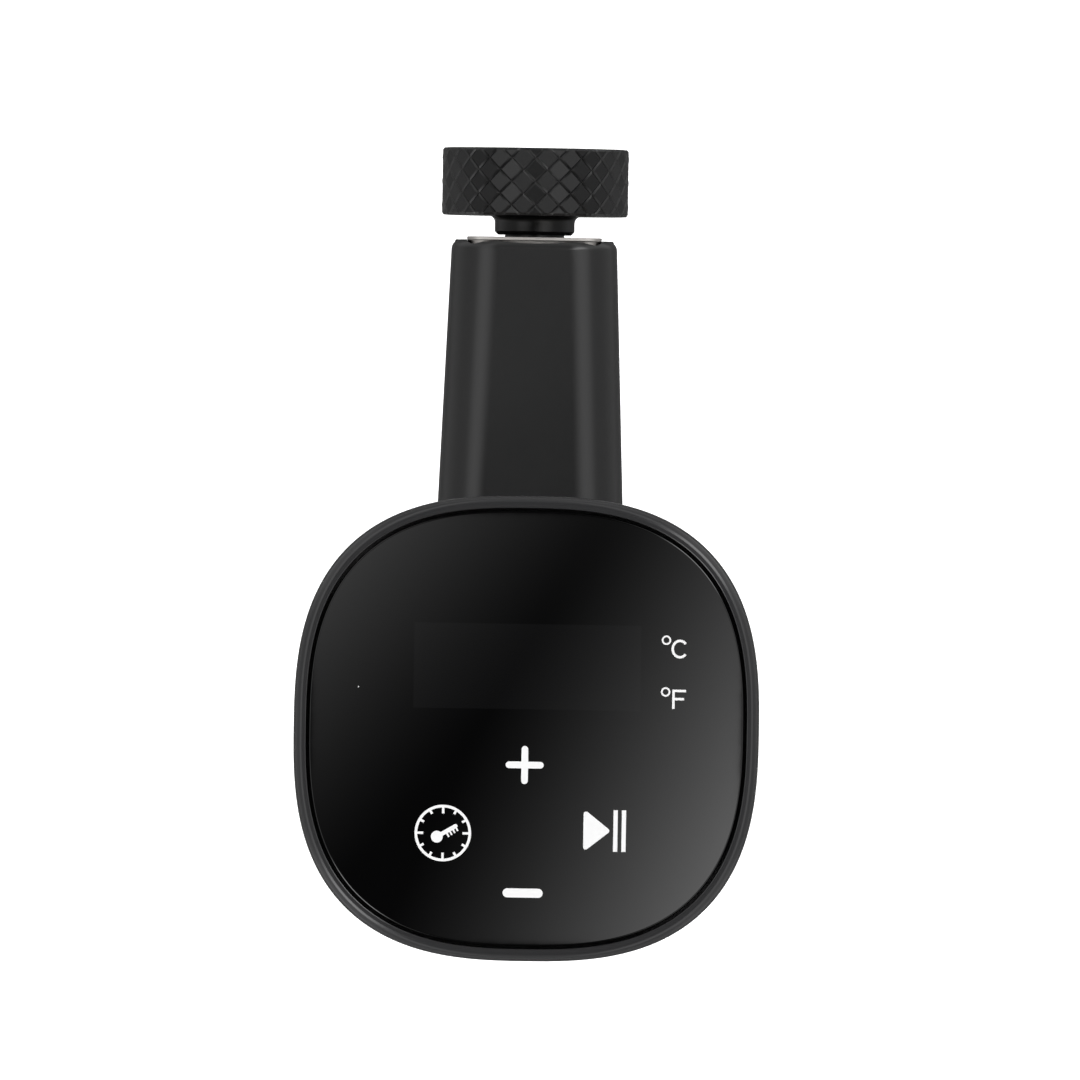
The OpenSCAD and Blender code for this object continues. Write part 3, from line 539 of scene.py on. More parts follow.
def glass_material(finishes, low, high):
    """Polished black glass: almost no colour of its own, a smoked window over the display, faint smudges.

    The window is where the larger of |x - cx| - hx and |y - cy| - hy is below zero.
    """
    _, w, shader, _ = new_material("black_glass_finish")
    place = w.place()
    split = w.split(place)
    sides = []
    for k in range(2):
        centre, half = (low[k] + high[k]) / 2 * MM, (high[k] - low[k]) / 2 * MM
        off = w.math("ABSOLUTE", w.math("SUBTRACT", split[k], centre))
        sides.append(w.math("SUBTRACT", off, half))
    inside = w.ramp(w.math("MAXIMUM", *sides), -0.00012, 0.00012, 1.0, 0.0)
    mix = w.add("ShaderNodeMix", data_type="RGBA")
    w.feed(mix.inputs["Factor"], inside)
    mix.inputs[6].default_value = (*finishes.glass, 1)
    mix.inputs[7].default_value = (*finishes.window, 1)
    w.feed(shader.inputs["Base Color"], mix.outputs[2])
    marks = w.group("handling_marks", Vector=place, Base=0.012, Amount=0.012)
    w.feed(shader.inputs["Roughness"], marks.outputs["Roughness"])
    shader.inputs["IOR"].default_value = 1.5


def make_finishes(finishes):
    """One material for each finish of the record, and the white ink of the signs, which has a painted glow:
    it gives off a little light of its own.
    """
    make_groups()
    low, high = extent("display_module")
    glass_material(finishes, low, high)
    plain = {
        "gloss_black": dict(shade=finishes.gloss, rough=0.15, specular=0.4, tone_spread=0.1),
        "satin_black": dict(shade=finishes.satin, rough=0.29, grain=0.0025, tone_spread=0.12),
        "grey_plastic": dict(shade=(0.075, 0.076, 0.08), rough=0.42, grain=0.006),
        "knob_black": dict(shade=finishes.knob, rough=0.3, specular=0.42, grain=0.003,
                           grain_scale=5000.0, tone_spread=0.2),
        "black_rubber": dict(shade=finishes.rubber, rough=0.68, grain=0.012, grain_scale=2600.0,
                             tone_spread=0.3, specular=0.35),
        "dark_display": dict(shade=(0.012, 0.012, 0.016), rough=0.25),
        "white_lamp": dict(shade=(0.8, 0.8, 0.76), rough=0.35, tone_spread=0.06),
        "green_board": dict(shade=(0.018, 0.13, 0.055), rough=0.32, grain=0.008, tone_spread=0.5),
        "blue_case": dict(shade=(0.03, 0.08, 0.4), rough=0.35, grain=0.004),
        "yellow_case": dict(shade=(0.7, 0.48, 0.06), rough=0.4, grain=0.004),
        "green_case": dict(shade=(0.03, 0.28, 0.09), rough=0.38, grain=0.004),
        "brass": dict(shade=(0.78, 0.57, 0.26), rough=0.27, metal=1.0, lines=0.003, along="Y"),
        "aluminium": dict(shade=(0.72, 0.73, 0.75), rough=0.3, metal=1.0, lines=0.004),
        "copper_winding": dict(shade=(0.62, 0.27, 0.11), rough=0.3, metal=0.8, lines=0.05,
                               line_scale=2200.0, tone_spread=0.6),
        "zinc_steel": dict(shade=(0.55, 0.56, 0.58), rough=0.36, metal=1.0, grain=0.003,
                           grain_scale=1500.0, tone_spread=0.35),
        "spring_steel": dict(shade=(0.6, 0.59, 0.57), rough=0.26, metal=1.0, lines=0.002),
        "bright_steel": dict(shade=(0.68, 0.68, 0.68), rough=0.16, metal=1.0, lines=0.0012),
        "dark_steel": dict(shade=(0.15, 0.15, 0.155), rough=0.33, metal=1.0, grain=0.002),
        "heater_steel": dict(shade=(0.5, 0.47, 0.42), rough=0.3, metal=1.0, grain=0.002,
                             grain_scale=1200.0, tone_spread=0.5),
        "skirt_steel": dict(shade=finishes.steel, rough=0.27, metal=1.0, lines=0.0006,
                            line_scale=1500.0, tone_spread=0.16),
        "plate_steel": dict(shade=(0.47, 0.45, 0.43), rough=0.42, metal=1.0, grain=0.002, tone_spread=0.1),
    }
    for name, values in plain.items():
        principled(name, **values)
    ink = principled("white_ink_painted_glow", finishes.sign, 0.5, tone_spread=0.03, grain_scale=9000.0)
    # Painted glow: the white ink gives off a little light of its own, so the printed signs look brighter
    # than their lighting makes them.
    glow = ink.node_tree.nodes["Principled BSDF"]
    glow.inputs["Emission Color"].default_value = (1, 1, 1, 1)
    glow.inputs["Emission Strength"].default_value = 0.05


def finish_of(slot):
    """The material of a finish."""
    return bpy.data.materials[slot + "_finish"]


# ---- Head ----


class CIRCULATOR_OT_touch_glass(bpy.types.Operator):
    """Glass plate of the touch panel, with ground edges"""

    bl_idname = "circulator.touch_glass"
    bl_label = "Touch glass"

    def execute(self, context):
        """Rings of the rounded square follow the plate's half profile (half width, height)."""
        sizes = context.scene.circulator_head
        low, high = extent("touch_glass")
        half, edge = high[0], sizes.glass_edge / MM
        profile = rounded([(0, low[2]), (half, low[2]), (half, high[2]), (0, high[2])],
                          [0, edge, edge, 0], 7)
        levels = [(a, z, sizes.squareness) for a, z in profile]
        piece("touch_glass_plate", [surface(square_rings(levels))], "black_glass", "stick",
              ["touch_glass"], 25.0)
        return {"FINISHED"}


def star(radius, centre):
    """Outline about a centre from its radius at evenly spread angles from the right, turning left."""
    a = np.linspace(0, TURN, len(radius), endpoint=False)
    return np.stack([radius * np.cos(a), radius * np.sin(a)], -1) + centre


def bar(centre, half_length, half_width, angle=0.0, round_ends=True, count=20):
    """Outline of a straight stroke: a stadium, or a rectangle, turned by angle."""
    if round_ends:
        shape = stadium(half_width, half_length - half_width, count // 2, 4)[:, ::-1] * (1, -1)
    else:
        shape = np.array([(half_length, -half_width), (half_length, half_width),
                          (-half_length, half_width), (-half_length, -half_width)], float)
    c, s = math.cos(angle), math.sin(angle)
    return shape @ np.array([[c, s], [-s, c]]) + centre


def full_ring(centre, radius, half_width, low, high, count=64):
    """Surface of a flat ring from low to high."""
    rows = [(radius - half_width, low), (radius + half_width, low),
            (radius + half_width, high), (radius - half_width, high)]
    return surface(turned(rows, "Z", (*centre, 0), count), loop=True)


def plus_outline(centre, half_length, half_width, count=96):
    """Outline of a plus sign with round ends.

    Its radius at angle a from the nearest arm's axis is the smaller of w / |sin a| and the arm's round
    end (L - w) cos a + sqrt(w^2 - (L - w)^2 sin^2 a), where that root exists.
    """
    t = np.linspace(0, TURN, count, endpoint=False)
    a = (t + np.pi / 4) % (np.pi / 2) - np.pi / 4
    side = half_width / np.maximum(np.abs(np.sin(a)), 1e-9)
    inner = half_length - half_width
    root = half_width ** 2 - (inner * np.sin(a)) ** 2
    end = np.where(root > 0, inner * np.cos(a) + np.sqrt(np.maximum(root, 0)), np.inf)
    return star(np.minimum(side, end), centre)


class CIRCULATOR_OT_signs(bpy.types.Operator):
    """White signs printed on the touch glass"""

    bl_idname = "circulator.signs"
    bl_label = "Printed signs"

    def execute(self, context):
        """Each sign is a flat outline carried up by the print's thickness; one tiny white dot among them is
        a painted highlight.
        """
        sizes = context.scene.circulator_head
        low = extent("touch_glass")[1][2] - 0.01
        high = low + 0.01 + sizes.print_height / MM
        w = sizes.stroke / MM / 2

        def flat(outline, top=high):
            """A printed patch with that outline."""
            return prism(outline, low, top, 0.0, (0, 1, 2))

        keys_x, plus_y, minus_y, dial_at = -0.2, -7.35, -33.2, (-16.5, -21.35)
        marks = [flat(plus_outline((keys_x, plus_y), 3.85, 0.68)), flat(bar((keys_x, minus_y), 4.05, 0.92))]
        letters_x, thin, tall = 30.75, 2 * w * 0.9, 1.95
        degrees = [(28.0, height) for height in (18.3, 7.85)]
        marks += [full_ring(centre, 0.78, 0.17, low, high, 32) for centre in degrees]
        a = np.linspace(0.22 * np.pi, 1.78 * np.pi, 40)
        ray = np.stack([1.72 * np.cos(a), 1.9 * np.sin(a)], -1)
        inner = ray * (1 - thin / np.linalg.norm(ray, axis=1))[:, None]
        marks.append(flat(np.concatenate([ray, inner[::-1]]) + (letters_x, degrees[0][1] - 1.75)))
        left, middle, reach, arm = letters_x - 1.4, degrees[1][1] - 1.45, 2.75, 2.4
        top, foot = middle + tall, middle - tall
        waist = foot + 1.75
        marks.append(flat(np.array([
            (left, foot), (left + thin, foot), (left + thin, waist), (left + arm, waist),
            (left + arm, waist + thin), (left + thin, waist + thin), (left + thin, top - thin),
            (left + reach, top - thin), (left + reach, top), (left, top)])))
        marks += self.dial(dial_at, flat, w, low, high)
        play_y, half = -20.38, 4.38
        corners = [(11.85, play_y + half), (11.85, play_y - half + 0.01), (17.4, play_y)]
        marks.append(flat(rounded(corners, 0.5, 5)))
        marks += [flat(bar((x, play_y), 4.2, 0.43, np.pi / 2, False)) for x in (18.32, 20.0)]
        # Painted highlight: a tiny white dot in the white ink stands for the glint on the status lamp's
        # pin-hole.
        painted_glint_at, painted_glint_r = (-34.0, 7.95), 0.13
        marks.append(flat(star(np.full(12, painted_glint_r), painted_glint_at)))
        piece("printed_signs", marks, "white_lamp", "stick", sharp=40.0, finish="white_ink_painted_glow")
        return {"FINISHED"}

    @staticmethod
    def dial(centre, flat, w, low, high):
        """A ring with twelve ticks inside and a slanting thermometer on it."""
        parts = [full_ring(centre, 5.44, w, low, high, 96)]
        for k in range(12):
            a, size = TURN * k / 12, 0.62 if k % 3 == 0 else 0.38
            reach = 5.2 - size
            parts.append(flat(bar((centre[0] + reach * math.cos(a), centre[1] + reach * math.sin(a)),
                                  size, 0.24, a, False), high - 0.002))
        slant = math.atan2(2.4, 4.1)
        bulb = np.array((centre[0] - 1.2, centre[1] - 0.75))
        along = np.array((math.cos(slant), math.sin(slant)))
        across = np.array((along[1], -along[0]))
        parts.append(flat(star(np.full(28, 1.2), bulb)))
        parts.append(flat(bar(bulb + along * 2.75, 2.0, 0.42, slant, True), high - 0.002))
        for k in range(4):
            spot = bulb + along * (2.1 + 0.72 * k) + across * 0.75
            parts.append(flat(bar(spot, 0.5 - 0.06 * k, 0.17, slant - np.pi / 2, False), high - 0.004))
        return parts


class CIRCULATOR_OT_bezel(bpy.types.Operator):
    """Glossy ring round the touch glass"""

    bl_idname = "circulator.bezel"
    bl_label = "Bezel ring"

    def execute(self, context):
        """The profile has a flat inner part and an elliptic outer part, x = a cos t and z = b sin t."""
        sizes = context.scene.circulator_head
        low, high = extent("bezel_ring")
        outer, top = high[0], high[2]
        inner = extent("touch_glass")[1][0] + 0.6
        flat_end = inner + 0.15 + sizes.bezel_flat / MM
        drop = sizes.bezel_round / MM
        t = np.linspace(0, np.pi / 2, 14)
        crown = np.stack([flat_end + (outer - flat_end) * np.cos(t), top - drop + drop * np.sin(t)], -1)
        foot = rounded([(inner, low[2] + 0.05), (outer, low[2] + 0.05), (outer, top - drop)],
                       [0, 0.3, 0], 4)[:-1]
        lip = np.array([(inner + 0.2, top), (inner + 0.06, top - 0.06), (inner, top - 0.22)])
        profile = np.concatenate([foot, crown, lip])
        levels = [(a, z, sizes.squareness) for a, z in profile]
        piece("bezel_band", [surface(square_rings(levels), loop=True)], "gloss_black", "stick",
              ["bezel_ring"], 38.0)
        return {"FINISHED"}


class CIRCULATOR_OT_head_shell(bpy.types.Operator):
    """Outer case of the head, from the round neck to the rounded square under the bezel"""

    bl_idname = "circulator.head_shell"
    bl_label = "Head shell"

    def execute(self, context):
        """The bowl is a quarter of an ellipse.

        At angle t its height is z + h (1 - cos t), its half width r + (a - r) sin t, and its outline's
        exponent 2 + (n - 2) sin t.
        """
        sizes = context.scene.circulator_head
        low, high = extent("head_shell")
        n = sizes.squareness

        def bowl(start, height, round_r, half):
            """Levels of a bowl's quarter."""
            t = np.linspace(0, np.pi / 2, 28)
            return np.stack([round_r + (half - round_r) * np.sin(t), start + height * (1 - np.cos(t)),
                             2 + (n - 2) * np.sin(t)], -1)

        base, seat, a = low[2], high[2], high[0]
        outside = np.concatenate([bowl(base, 20.0, 33.0, a), [
            (a, seat - 0.75, n), (a - 0.08, seat - 0.6, n), (a - 0.45, seat - 0.5, n),
            (a - 0.5, seat - 0.35, n), (a - 0.5, seat, n)]])
        frame_low = extent("panel_frame")[0][2]
        inner = a - 2.4
        ledge = [(inner, seat, n), (inner, frame_low, n), (inner - 2.6, frame_low, n),
                 (inner - 2.6, frame_low - 2, n), (inner, frame_low - 4.6, n)]
        inside = np.concatenate([ledge, bowl(base + 3, 17.0, 31.0, inner)[::-1],
                                 [(23.0, base + 3, 2), (23.0, base, 2)]])
        rings = square_rings(np.concatenate([outside, inside]))
        piece("head_case", [surface(rings, loop=True)], "satin_black", "stick", ["head_shell"], 30.0)
        return {"FINISHED"}


# ---- Body, skirt and foot ----


def turned_piece(name, line, slot, body, node, axis="Z", centre=(0, 0, 0), count=96, loop=True,
                 sharp=32.0):
    """A finished piece that stands for a node: one profile carried round an axis."""
    return piece(name, [surface(turned(line, axis, centre, count), loop=loop)], slot, body, [node], sharp)


class CIRCULATOR_OT_body(bpy.types.Operator):
    """Body tube, slotted vent ring and the cord's gland"""

    bl_idname = "circulator.body"
    bl_label = "Tube, vent ring and gland"

    def execute(self, context):
        """The tube and gland are turned profiles; the vent ring is a slotted tube."""
        sizes = context.scene.circulator_body
        edge, wall = sizes.edge / MM, 2.5
        low, high = extent("body_tube")
        r_out = high[0]
        r_in = r_out - wall
        line = rounded([(r_in, low[2]), (r_out, low[2]), (r_out, high[2]), (r_in, high[2])],
                       [0.2, edge, edge * 0.6, 0.2], 6)
        turned_piece("body_tube_shell", line, "satin_black", "stick", "body_tube", count=144)
        low, high = extent("vent_ring")
        slot_r, bridge = 1.1, 2.5
        walls = slotted_tube(r_out, r_in, low[2], high[2], sizes.vent_slots, slot_r, low[2] + bridge,
                             high[2] - bridge, edge / 2, 1.0, 0.5)
        piece("vent_band", walls, "satin_black", "stick", ["vent_ring"])
        self.gland()
        return {"FINISHED"}

    @staticmethod
    def gland():
        """The rubber gland's profile along X: ribbed neck, flange, and the stub inside the tube."""
        low, high = extent("cord_gland")
        bore, neck, flange, dip, rib_step = 3.75, 6.5, 8.5, 0.8, 0.75
        flange_start, flange_end, end = -35.1, -29.5, high[0] - 0.2
        ribs = [(neck - dip * (k % 2), low[0] + 0.9 + rib_step * k) for k in range(7)]
        line = rounded([(bore, low[0]), (neck - 0.6, low[0]), (neck, low[0] + 0.5), *ribs,
                        (neck - 0.6, flange_start), (flange, flange_start + 0.2),
                        (flange, flange_end - 0.1),
                        (neck - 0.05, flange_end), (neck - 0.05, end), (bore, end)],
                       [0.5, 0.2, 0.2, *[0.22] * 7, 0.6, 0.7, 0.0, 0.0, 0.3, 0.3], 5)
        turned_piece("cord_gland_ribbed", line, "black_rubber", "stick", "cord_gland", "X",
                     (0, 0, (low[2] + high[2]) / 2), 64)


class CIRCULATOR_OT_skirt(bpy.types.Operator):
    """Steel skirt with its outlet and bayonet slots, and the fluted grip collar"""

    bl_idname = "circulator.skirt"
    bl_label = "Skirt and collar"

    def execute(self, context):
        """The skirt is a slotted tube with three L-shaped cuts at its foot, each made of two wedges."""
        sizes = context.scene.circulator_body
        low, high = extent("skirt")
        r_out, sheet = high[0], 0.8
        slot_r, slot_low, slot_high = 1.6, 26.5, 51.5
        walls = slotted_tube(r_out, r_out - sheet, low[2], high[2], sizes.outlet_slots, slot_r, slot_low,
                             slot_high, 0.3, 3.0, 0.5)
        skirt = raw_piece("skirt_sheet", walls)
        for turn in (0, 120, 240):
            carve(skirt, [self.wedge(11.8, 3.4, turn - 5, turn + 30)])
            carve(skirt, [self.wedge(7.0, 5.2, turn + 20, turn + 30)])
        finished(skirt, "skirt_steel", "skirt_sleeve", ["skirt"])
        self.collar(sizes, r_out)
        return {"FINISHED"}

    @staticmethod
    def wedge(low, height, start, end):
        """A block from inside the skirt to outside it, between two angles in degrees."""
        a = np.radians(np.linspace(start, end, 9))
        ray = np.stack([np.cos(a), np.sin(a)], -1)
        return prism(np.concatenate([33 * ray, 25 * ray[::-1]]), low, low + height, 0.0, (0, 1, 2))

    @staticmethod
    def collar(sizes, r_in):
        """The collar's radius dips by sqrt(c^2 - x^2) less the cutter's offset.

        Here x is the way round to the nearest flute's middle and c the cutter's radius. The dip fades
        over the first and last 0.6 mm of the flutes.
        """
        low, high = extent("skirt_collar")
        outer, flutes, cutter, offset = high[0], sizes.flutes, sizes.flute_radius / MM, 0.35
        a = np.linspace(0, TURN, flutes * 14, endpoint=False)
        off = ((a * flutes / TURN + 0.5) % 1 - 0.5) * TURN / flutes * outer
        dip = np.maximum(np.sqrt(np.maximum(cutter ** 2 - off ** 2, 0)) - offset, 0)
        first, last = low[2] + 1.8, high[2] - 2.2
        line = np.concatenate([
            rounded([(r_in, low[2]), (outer, low[2]), (outer, first)], [0, 0.5, 0], 5),
            [(outer, z) for z in np.linspace(first, last, 14)[1:-1]],
            rounded([(outer, last), (outer, high[2]), (r_in, high[2])], [0, 0.5, 0], 5)])
        share = np.clip(np.minimum(line[:, 1] - first, last - line[:, 1]) / 0.6, 0, 1)
        rows = [(r - part * dip, z) for (r, z), part in zip(line, share)]
        turned_piece("grip_collar", rows, "satin_black", "skirt_sleeve", "skirt_collar", count=len(a),
                     sharp=40.0)


# ---- Clamp ----


def arm_rings(places, half_width, cut, top, thickness, big, small=1.0):
    """Cross-sections of the arm, one for each place along Y.

    The upper corners are quarter circles of radius big, the lower ones of radius small, and every face is
    set in by cut: x = w - big + (big - cut) sin t, z = top - big + (big - cut) cos t.
    """
    t, s = np.linspace(0, np.pi / 2, 20), np.linspace(0, np.pi / 2, 5)
    w, c = np.asarray(half_width)[:, None], np.asarray(cut)[:, None]
    right = np.concatenate([w - big + (big - c) * np.sin(t), w - c - small + small * np.cos(s)], 1)
    height = np.concatenate([-big + (big - c) * np.cos(t) + 0 * w,
                             -thickness + c + small - small * np.sin(s) + 0 * w], 1)
    x = np.concatenate([right, -right[:, ::-1]], 1)
    z = top + np.concatenate([height, height[:, ::-1]], 1)
    y = np.broadcast_to(np.asarray(places)[:, None], x.shape)
    return np.stack([x, y, z], -1)


class CIRCULATOR_OT_bracket(bpy.types.Operator):
    """Clamp bracket: saddle on the tube, rounded arm and outer leg, in one moulding"""

    bl_idname = "circulator.bracket"
    bl_label = "Clamp bracket"

    def execute(self, context):
        """Arm, saddle and leg are lofts joined into one solid, with the tube, bush and plate cut away."""
        sizes = context.scene.circulator_clamp
        low, high = extent("clamp_bracket")
        axis = extent("clamp_screw")[0][2] + 5.0
        top, end, thick, start = high[2], high[1], 11.0, 23.5
        wide, narrow, end_round = 19.8, 17.0, 2.0
        t = np.linspace(0, np.pi / 2, 8)[1:]
        y = np.concatenate([np.linspace(start, end - end_round, 18), end - end_round * (1 - np.sin(t))])
        cut = np.concatenate([np.zeros(18), end_round * (1 - np.cos(t))])
        w = wide + (narrow - wide) * np.clip((y - start) / (end - end_round - start), 0, 1)
        bracket = raw_piece("clamp_bracket_moulding", [
            surface(arm_rings(y, w, cut, top, thick, sizes.arm_round / MM), caps=True)])
        saddle_w, saddle_end, leg_start, leg_r = 18.8, 38.5, end - 14.0, 16.4
        inside = top - thick + 2.5
        saddle = rounded([(-saddle_w, start), (saddle_w, start), (saddle_w, saddle_end),
                          (-saddle_w, saddle_end)], [0, 0, 2.5, 2.5], 6)
        carve(bracket, [prism(saddle, low[2], inside, 1.2, (0, 1, 2))], "UNION")
        a = np.linspace(np.pi, TURN, 40)
        leg = np.concatenate([np.stack([leg_r * np.cos(a), axis + leg_r * np.sin(a)], -1),
                              [(leg_r, inside), (-leg_r, inside)]])
        carve(bracket, [prism(leg, leg_start, end, 0.9, (0, 2, 1))], "UNION")
        for corner, way in ((saddle_end, 1), (leg_start, -1)):
            web = self.web(corner, way, top - thick, sizes.fillet / MM)
            carve(bracket, [prism(web, -15.4, 15.4, 0.0, (2, 0, 1))], "UNION")
        tube_r, bush_r, gap, seat = 31.6, 9.0, 0.1, end - 2.0
        tube = [(0, low[2] - 5), (tube_r, low[2] - 5), (tube_r, top + 5), (0, top + 5)]
        carve(bracket, [surface(turned(tube, count=144))])
        bore = [(0, leg_start - 1), (bush_r, leg_start - 1), (bush_r, end + 1), (0, end + 1)]
        carve(bracket, [surface(turned(bore, "Y", (0, 0, axis), 72))])
        pocket = plate_rings([(0.0, seat), (gap, seat), (gap, end + 1), (0.0, end + 1)], axis, 0.0)
        carve(bracket, [surface(pocket)])
        finished(bracket, "satin_black", "stick", ["clamp_bracket"], 30.0)
        return {"FINISHED"}

    @staticmethod
    def web(corner, way, under, radius):
        """Outline of an inner fillet: a quarter circle under the arm and a block set into both walls."""
        a = np.linspace(0, np.pi / 2, 9)
        arc = np.stack([corner + way * radius * (1 - np.sin(a)), under - radius * (1 - np.cos(a))], -1)
        sunk = 0.8
        wall = corner - way * sunk
        return np.concatenate([arc, [(wall, under - radius), (wall, under + sunk),
                                     (corner + way * radius, under + sunk)]])


def plate_rings(rows, axis, hole, count=180):
    """Rings of the end plate's outline about the screw's axis, each row being (grow, y).

    The radius at angle a from upright is R below, and above it the smaller of R / |sin a| and the distance
    to a wide arch, with a round corner between the two: m.d + sqrt((m.d)^2 - m.m + c^2), where m is the
    corner's centre and d the ray. A row with grow 0 is a ring of the hole's radius.
    """
    high = extent("end_plate")[1]
    r, wide, corner = high[0], 61.0, 3.0
    a = np.linspace(0, TURN, count, endpoint=False)
    s, c = np.abs(np.sin(a)), np.cos(a)
    drop = high[2] - wide - axis
    arch = drop * c + np.sqrt(np.maximum(wide ** 2 - (drop * s) ** 2, 0))
    mx = r - corner
    mz = drop + math.sqrt((wide - corner) ** 2 - mx ** 2)
    along = mx * s + mz * c
    turn = along + np.sqrt(np.maximum(along ** 2 - mx ** 2 - mz ** 2 + corner ** 2, 0))
    bearing = np.arctan2(s, c)
    start = math.atan2(mx * wide / (wide - corner), drop + (mz - drop) * wide / (wide - corner))
    radius = np.where(c > 0, np.minimum(r / np.maximum(s, 1e-6), arch), r)
    radius = np.where((bearing > start) & (bearing < math.atan2(r, mz)), turn, radius)
    made = [np.stack([q * np.sin(a), y + 0 * a, axis + q * c], -1)
            for grow, y in rows for q in [np.full(count, hole) if grow == 0 else radius + grow]]
    return np.array(made)


class CIRCULATOR_OT_end_plate(bpy.types.Operator):
    """Steel plate set in the arm's end, and the brass bush behind it"""

    bl_idname = "circulator.end_plate"
    bl_label = "End plate and bush"

    def execute(self, context):
        """Rings of the plate's outline run from the hole over a narrower seat and the rim, and back."""
        low, high = extent("end_plate")
        axis, hole_r, step = low[2] + high[0], 5.7, 1.0
        e, rim = 0.2, high[1] - 0.8
        rows = [(0, low[1]), (-step, low[1]), (-step, rim), (-e, rim), (-0.001, rim + e),
                (-0.001, high[1] - e), (-0.3 * e, high[1] - 0.3 * e), (-e, high[1]), (0, high[1])]
        piece("end_plate_steel", [surface(plate_rings(rows, axis, hole_r), loop=True)], "plate_steel",
              "stick", ["end_plate"], 20.0)
        low, high = extent("threaded_bush")
        bore, outer = 5.05, 9.0
        line = rounded([(bore, low[1]), (outer, low[1]), (outer, high[1]), (bore, high[1])],
                       [0.5, 0.6, 0.1, 0.1], 4)
        turned_piece("threaded_bush_turned", line, "brass", "stick", "threaded_bush", "Y", (0, 0, axis), 72)
        return {"FINISHED"}


class CIRCULATOR_OT_screw(bpy.types.Operator):
    """Clamp screw with its right-hand thread"""

    bl_idname = "circulator.screw"
    bl_label = "Clamp screw"

    def execute(self, context):
        """The thread's radius at angle a and place y is r - depth (1 - g).

        g = clip(3 |p - 1/2| - 1/4, 0, 1), with p the fraction of y / pitch - a / turn.
        """
        sizes = context.scene.circulator_clamp
        low, high = extent("clamp_screw")
        axis, r, count = (low[2] + high[2]) / 2, 5.0, 48
        shoulder, thread_end = extent("foot_retainer")[1][1] + 0.1, 101.0
        a = np.linspace(0, TURN, count, endpoint=False)
        y = np.arange(shoulder + 1.2, thread_end, 0.2)[:, None]
        part = (y / (sizes.thread_pitch / MM) - a / TURN) % 1.0
        groove = np.clip(3.0 * np.abs(part - 0.5) - 0.25, 0, 1)
        fade = np.clip((y - shoulder - 1.0) / 2.0, 0, 1)
        radius = r - sizes.thread_depth / MM * (1 - groove) * fade
        button_r, button_end, neck_r = 4.8, low[1] + 4.6, 3.2
        head = rounded([(0, low[1]), (button_r, low[1]), (button_r, button_end), (neck_r, button_end),
                        (neck_r, shoulder), (r, shoulder), (r, shoulder + 1.1)],
                       [0, 0.4, 0.4, 0.2, 0.1, 0.4, 0], 4)
        tail = rounded([(r, thread_end + 0.2), (r, high[1]), (0, high[1])], [0, 0.4, 0], 4)
        turned_piece("clamp_screw_threaded", [*head, *zip(radius, y[:, 0]), *tail], "dark_steel",
                     "screw_and_knob", "clamp_screw", "Y", (0, 0, axis), count, False, 45.0)
        return {"FINISHED"}


def knurl_radius(u, v, radius, count, depth):
    """Radius of a diamond knurl where u counts diamonds round it and v along it.

    Grooves run where u + v or u - v is whole, straight-sided and 0.1 wide each way. Between them each
    diamond is a flat facet, r = R cos(reach) / cos(angle from the diamond's middle).
    """
    p, q = u + v, u - v
    near = np.minimum(np.abs(p - np.round(p)), np.abs(q - np.round(q)))
    middle = (np.floor(p + 1e-9) + np.floor(q + 1e-9) + 1) / 2
    facet = radius * math.cos(0.4 * TURN / count) / np.cos(np.clip(u - middle, -0.5, 0.5) * TURN / count)
    cut = np.minimum(facet, radius) - depth * np.clip(1 - near * 10, 0, 1)
    return np.where(near < 1e-6, radius - depth, cut)


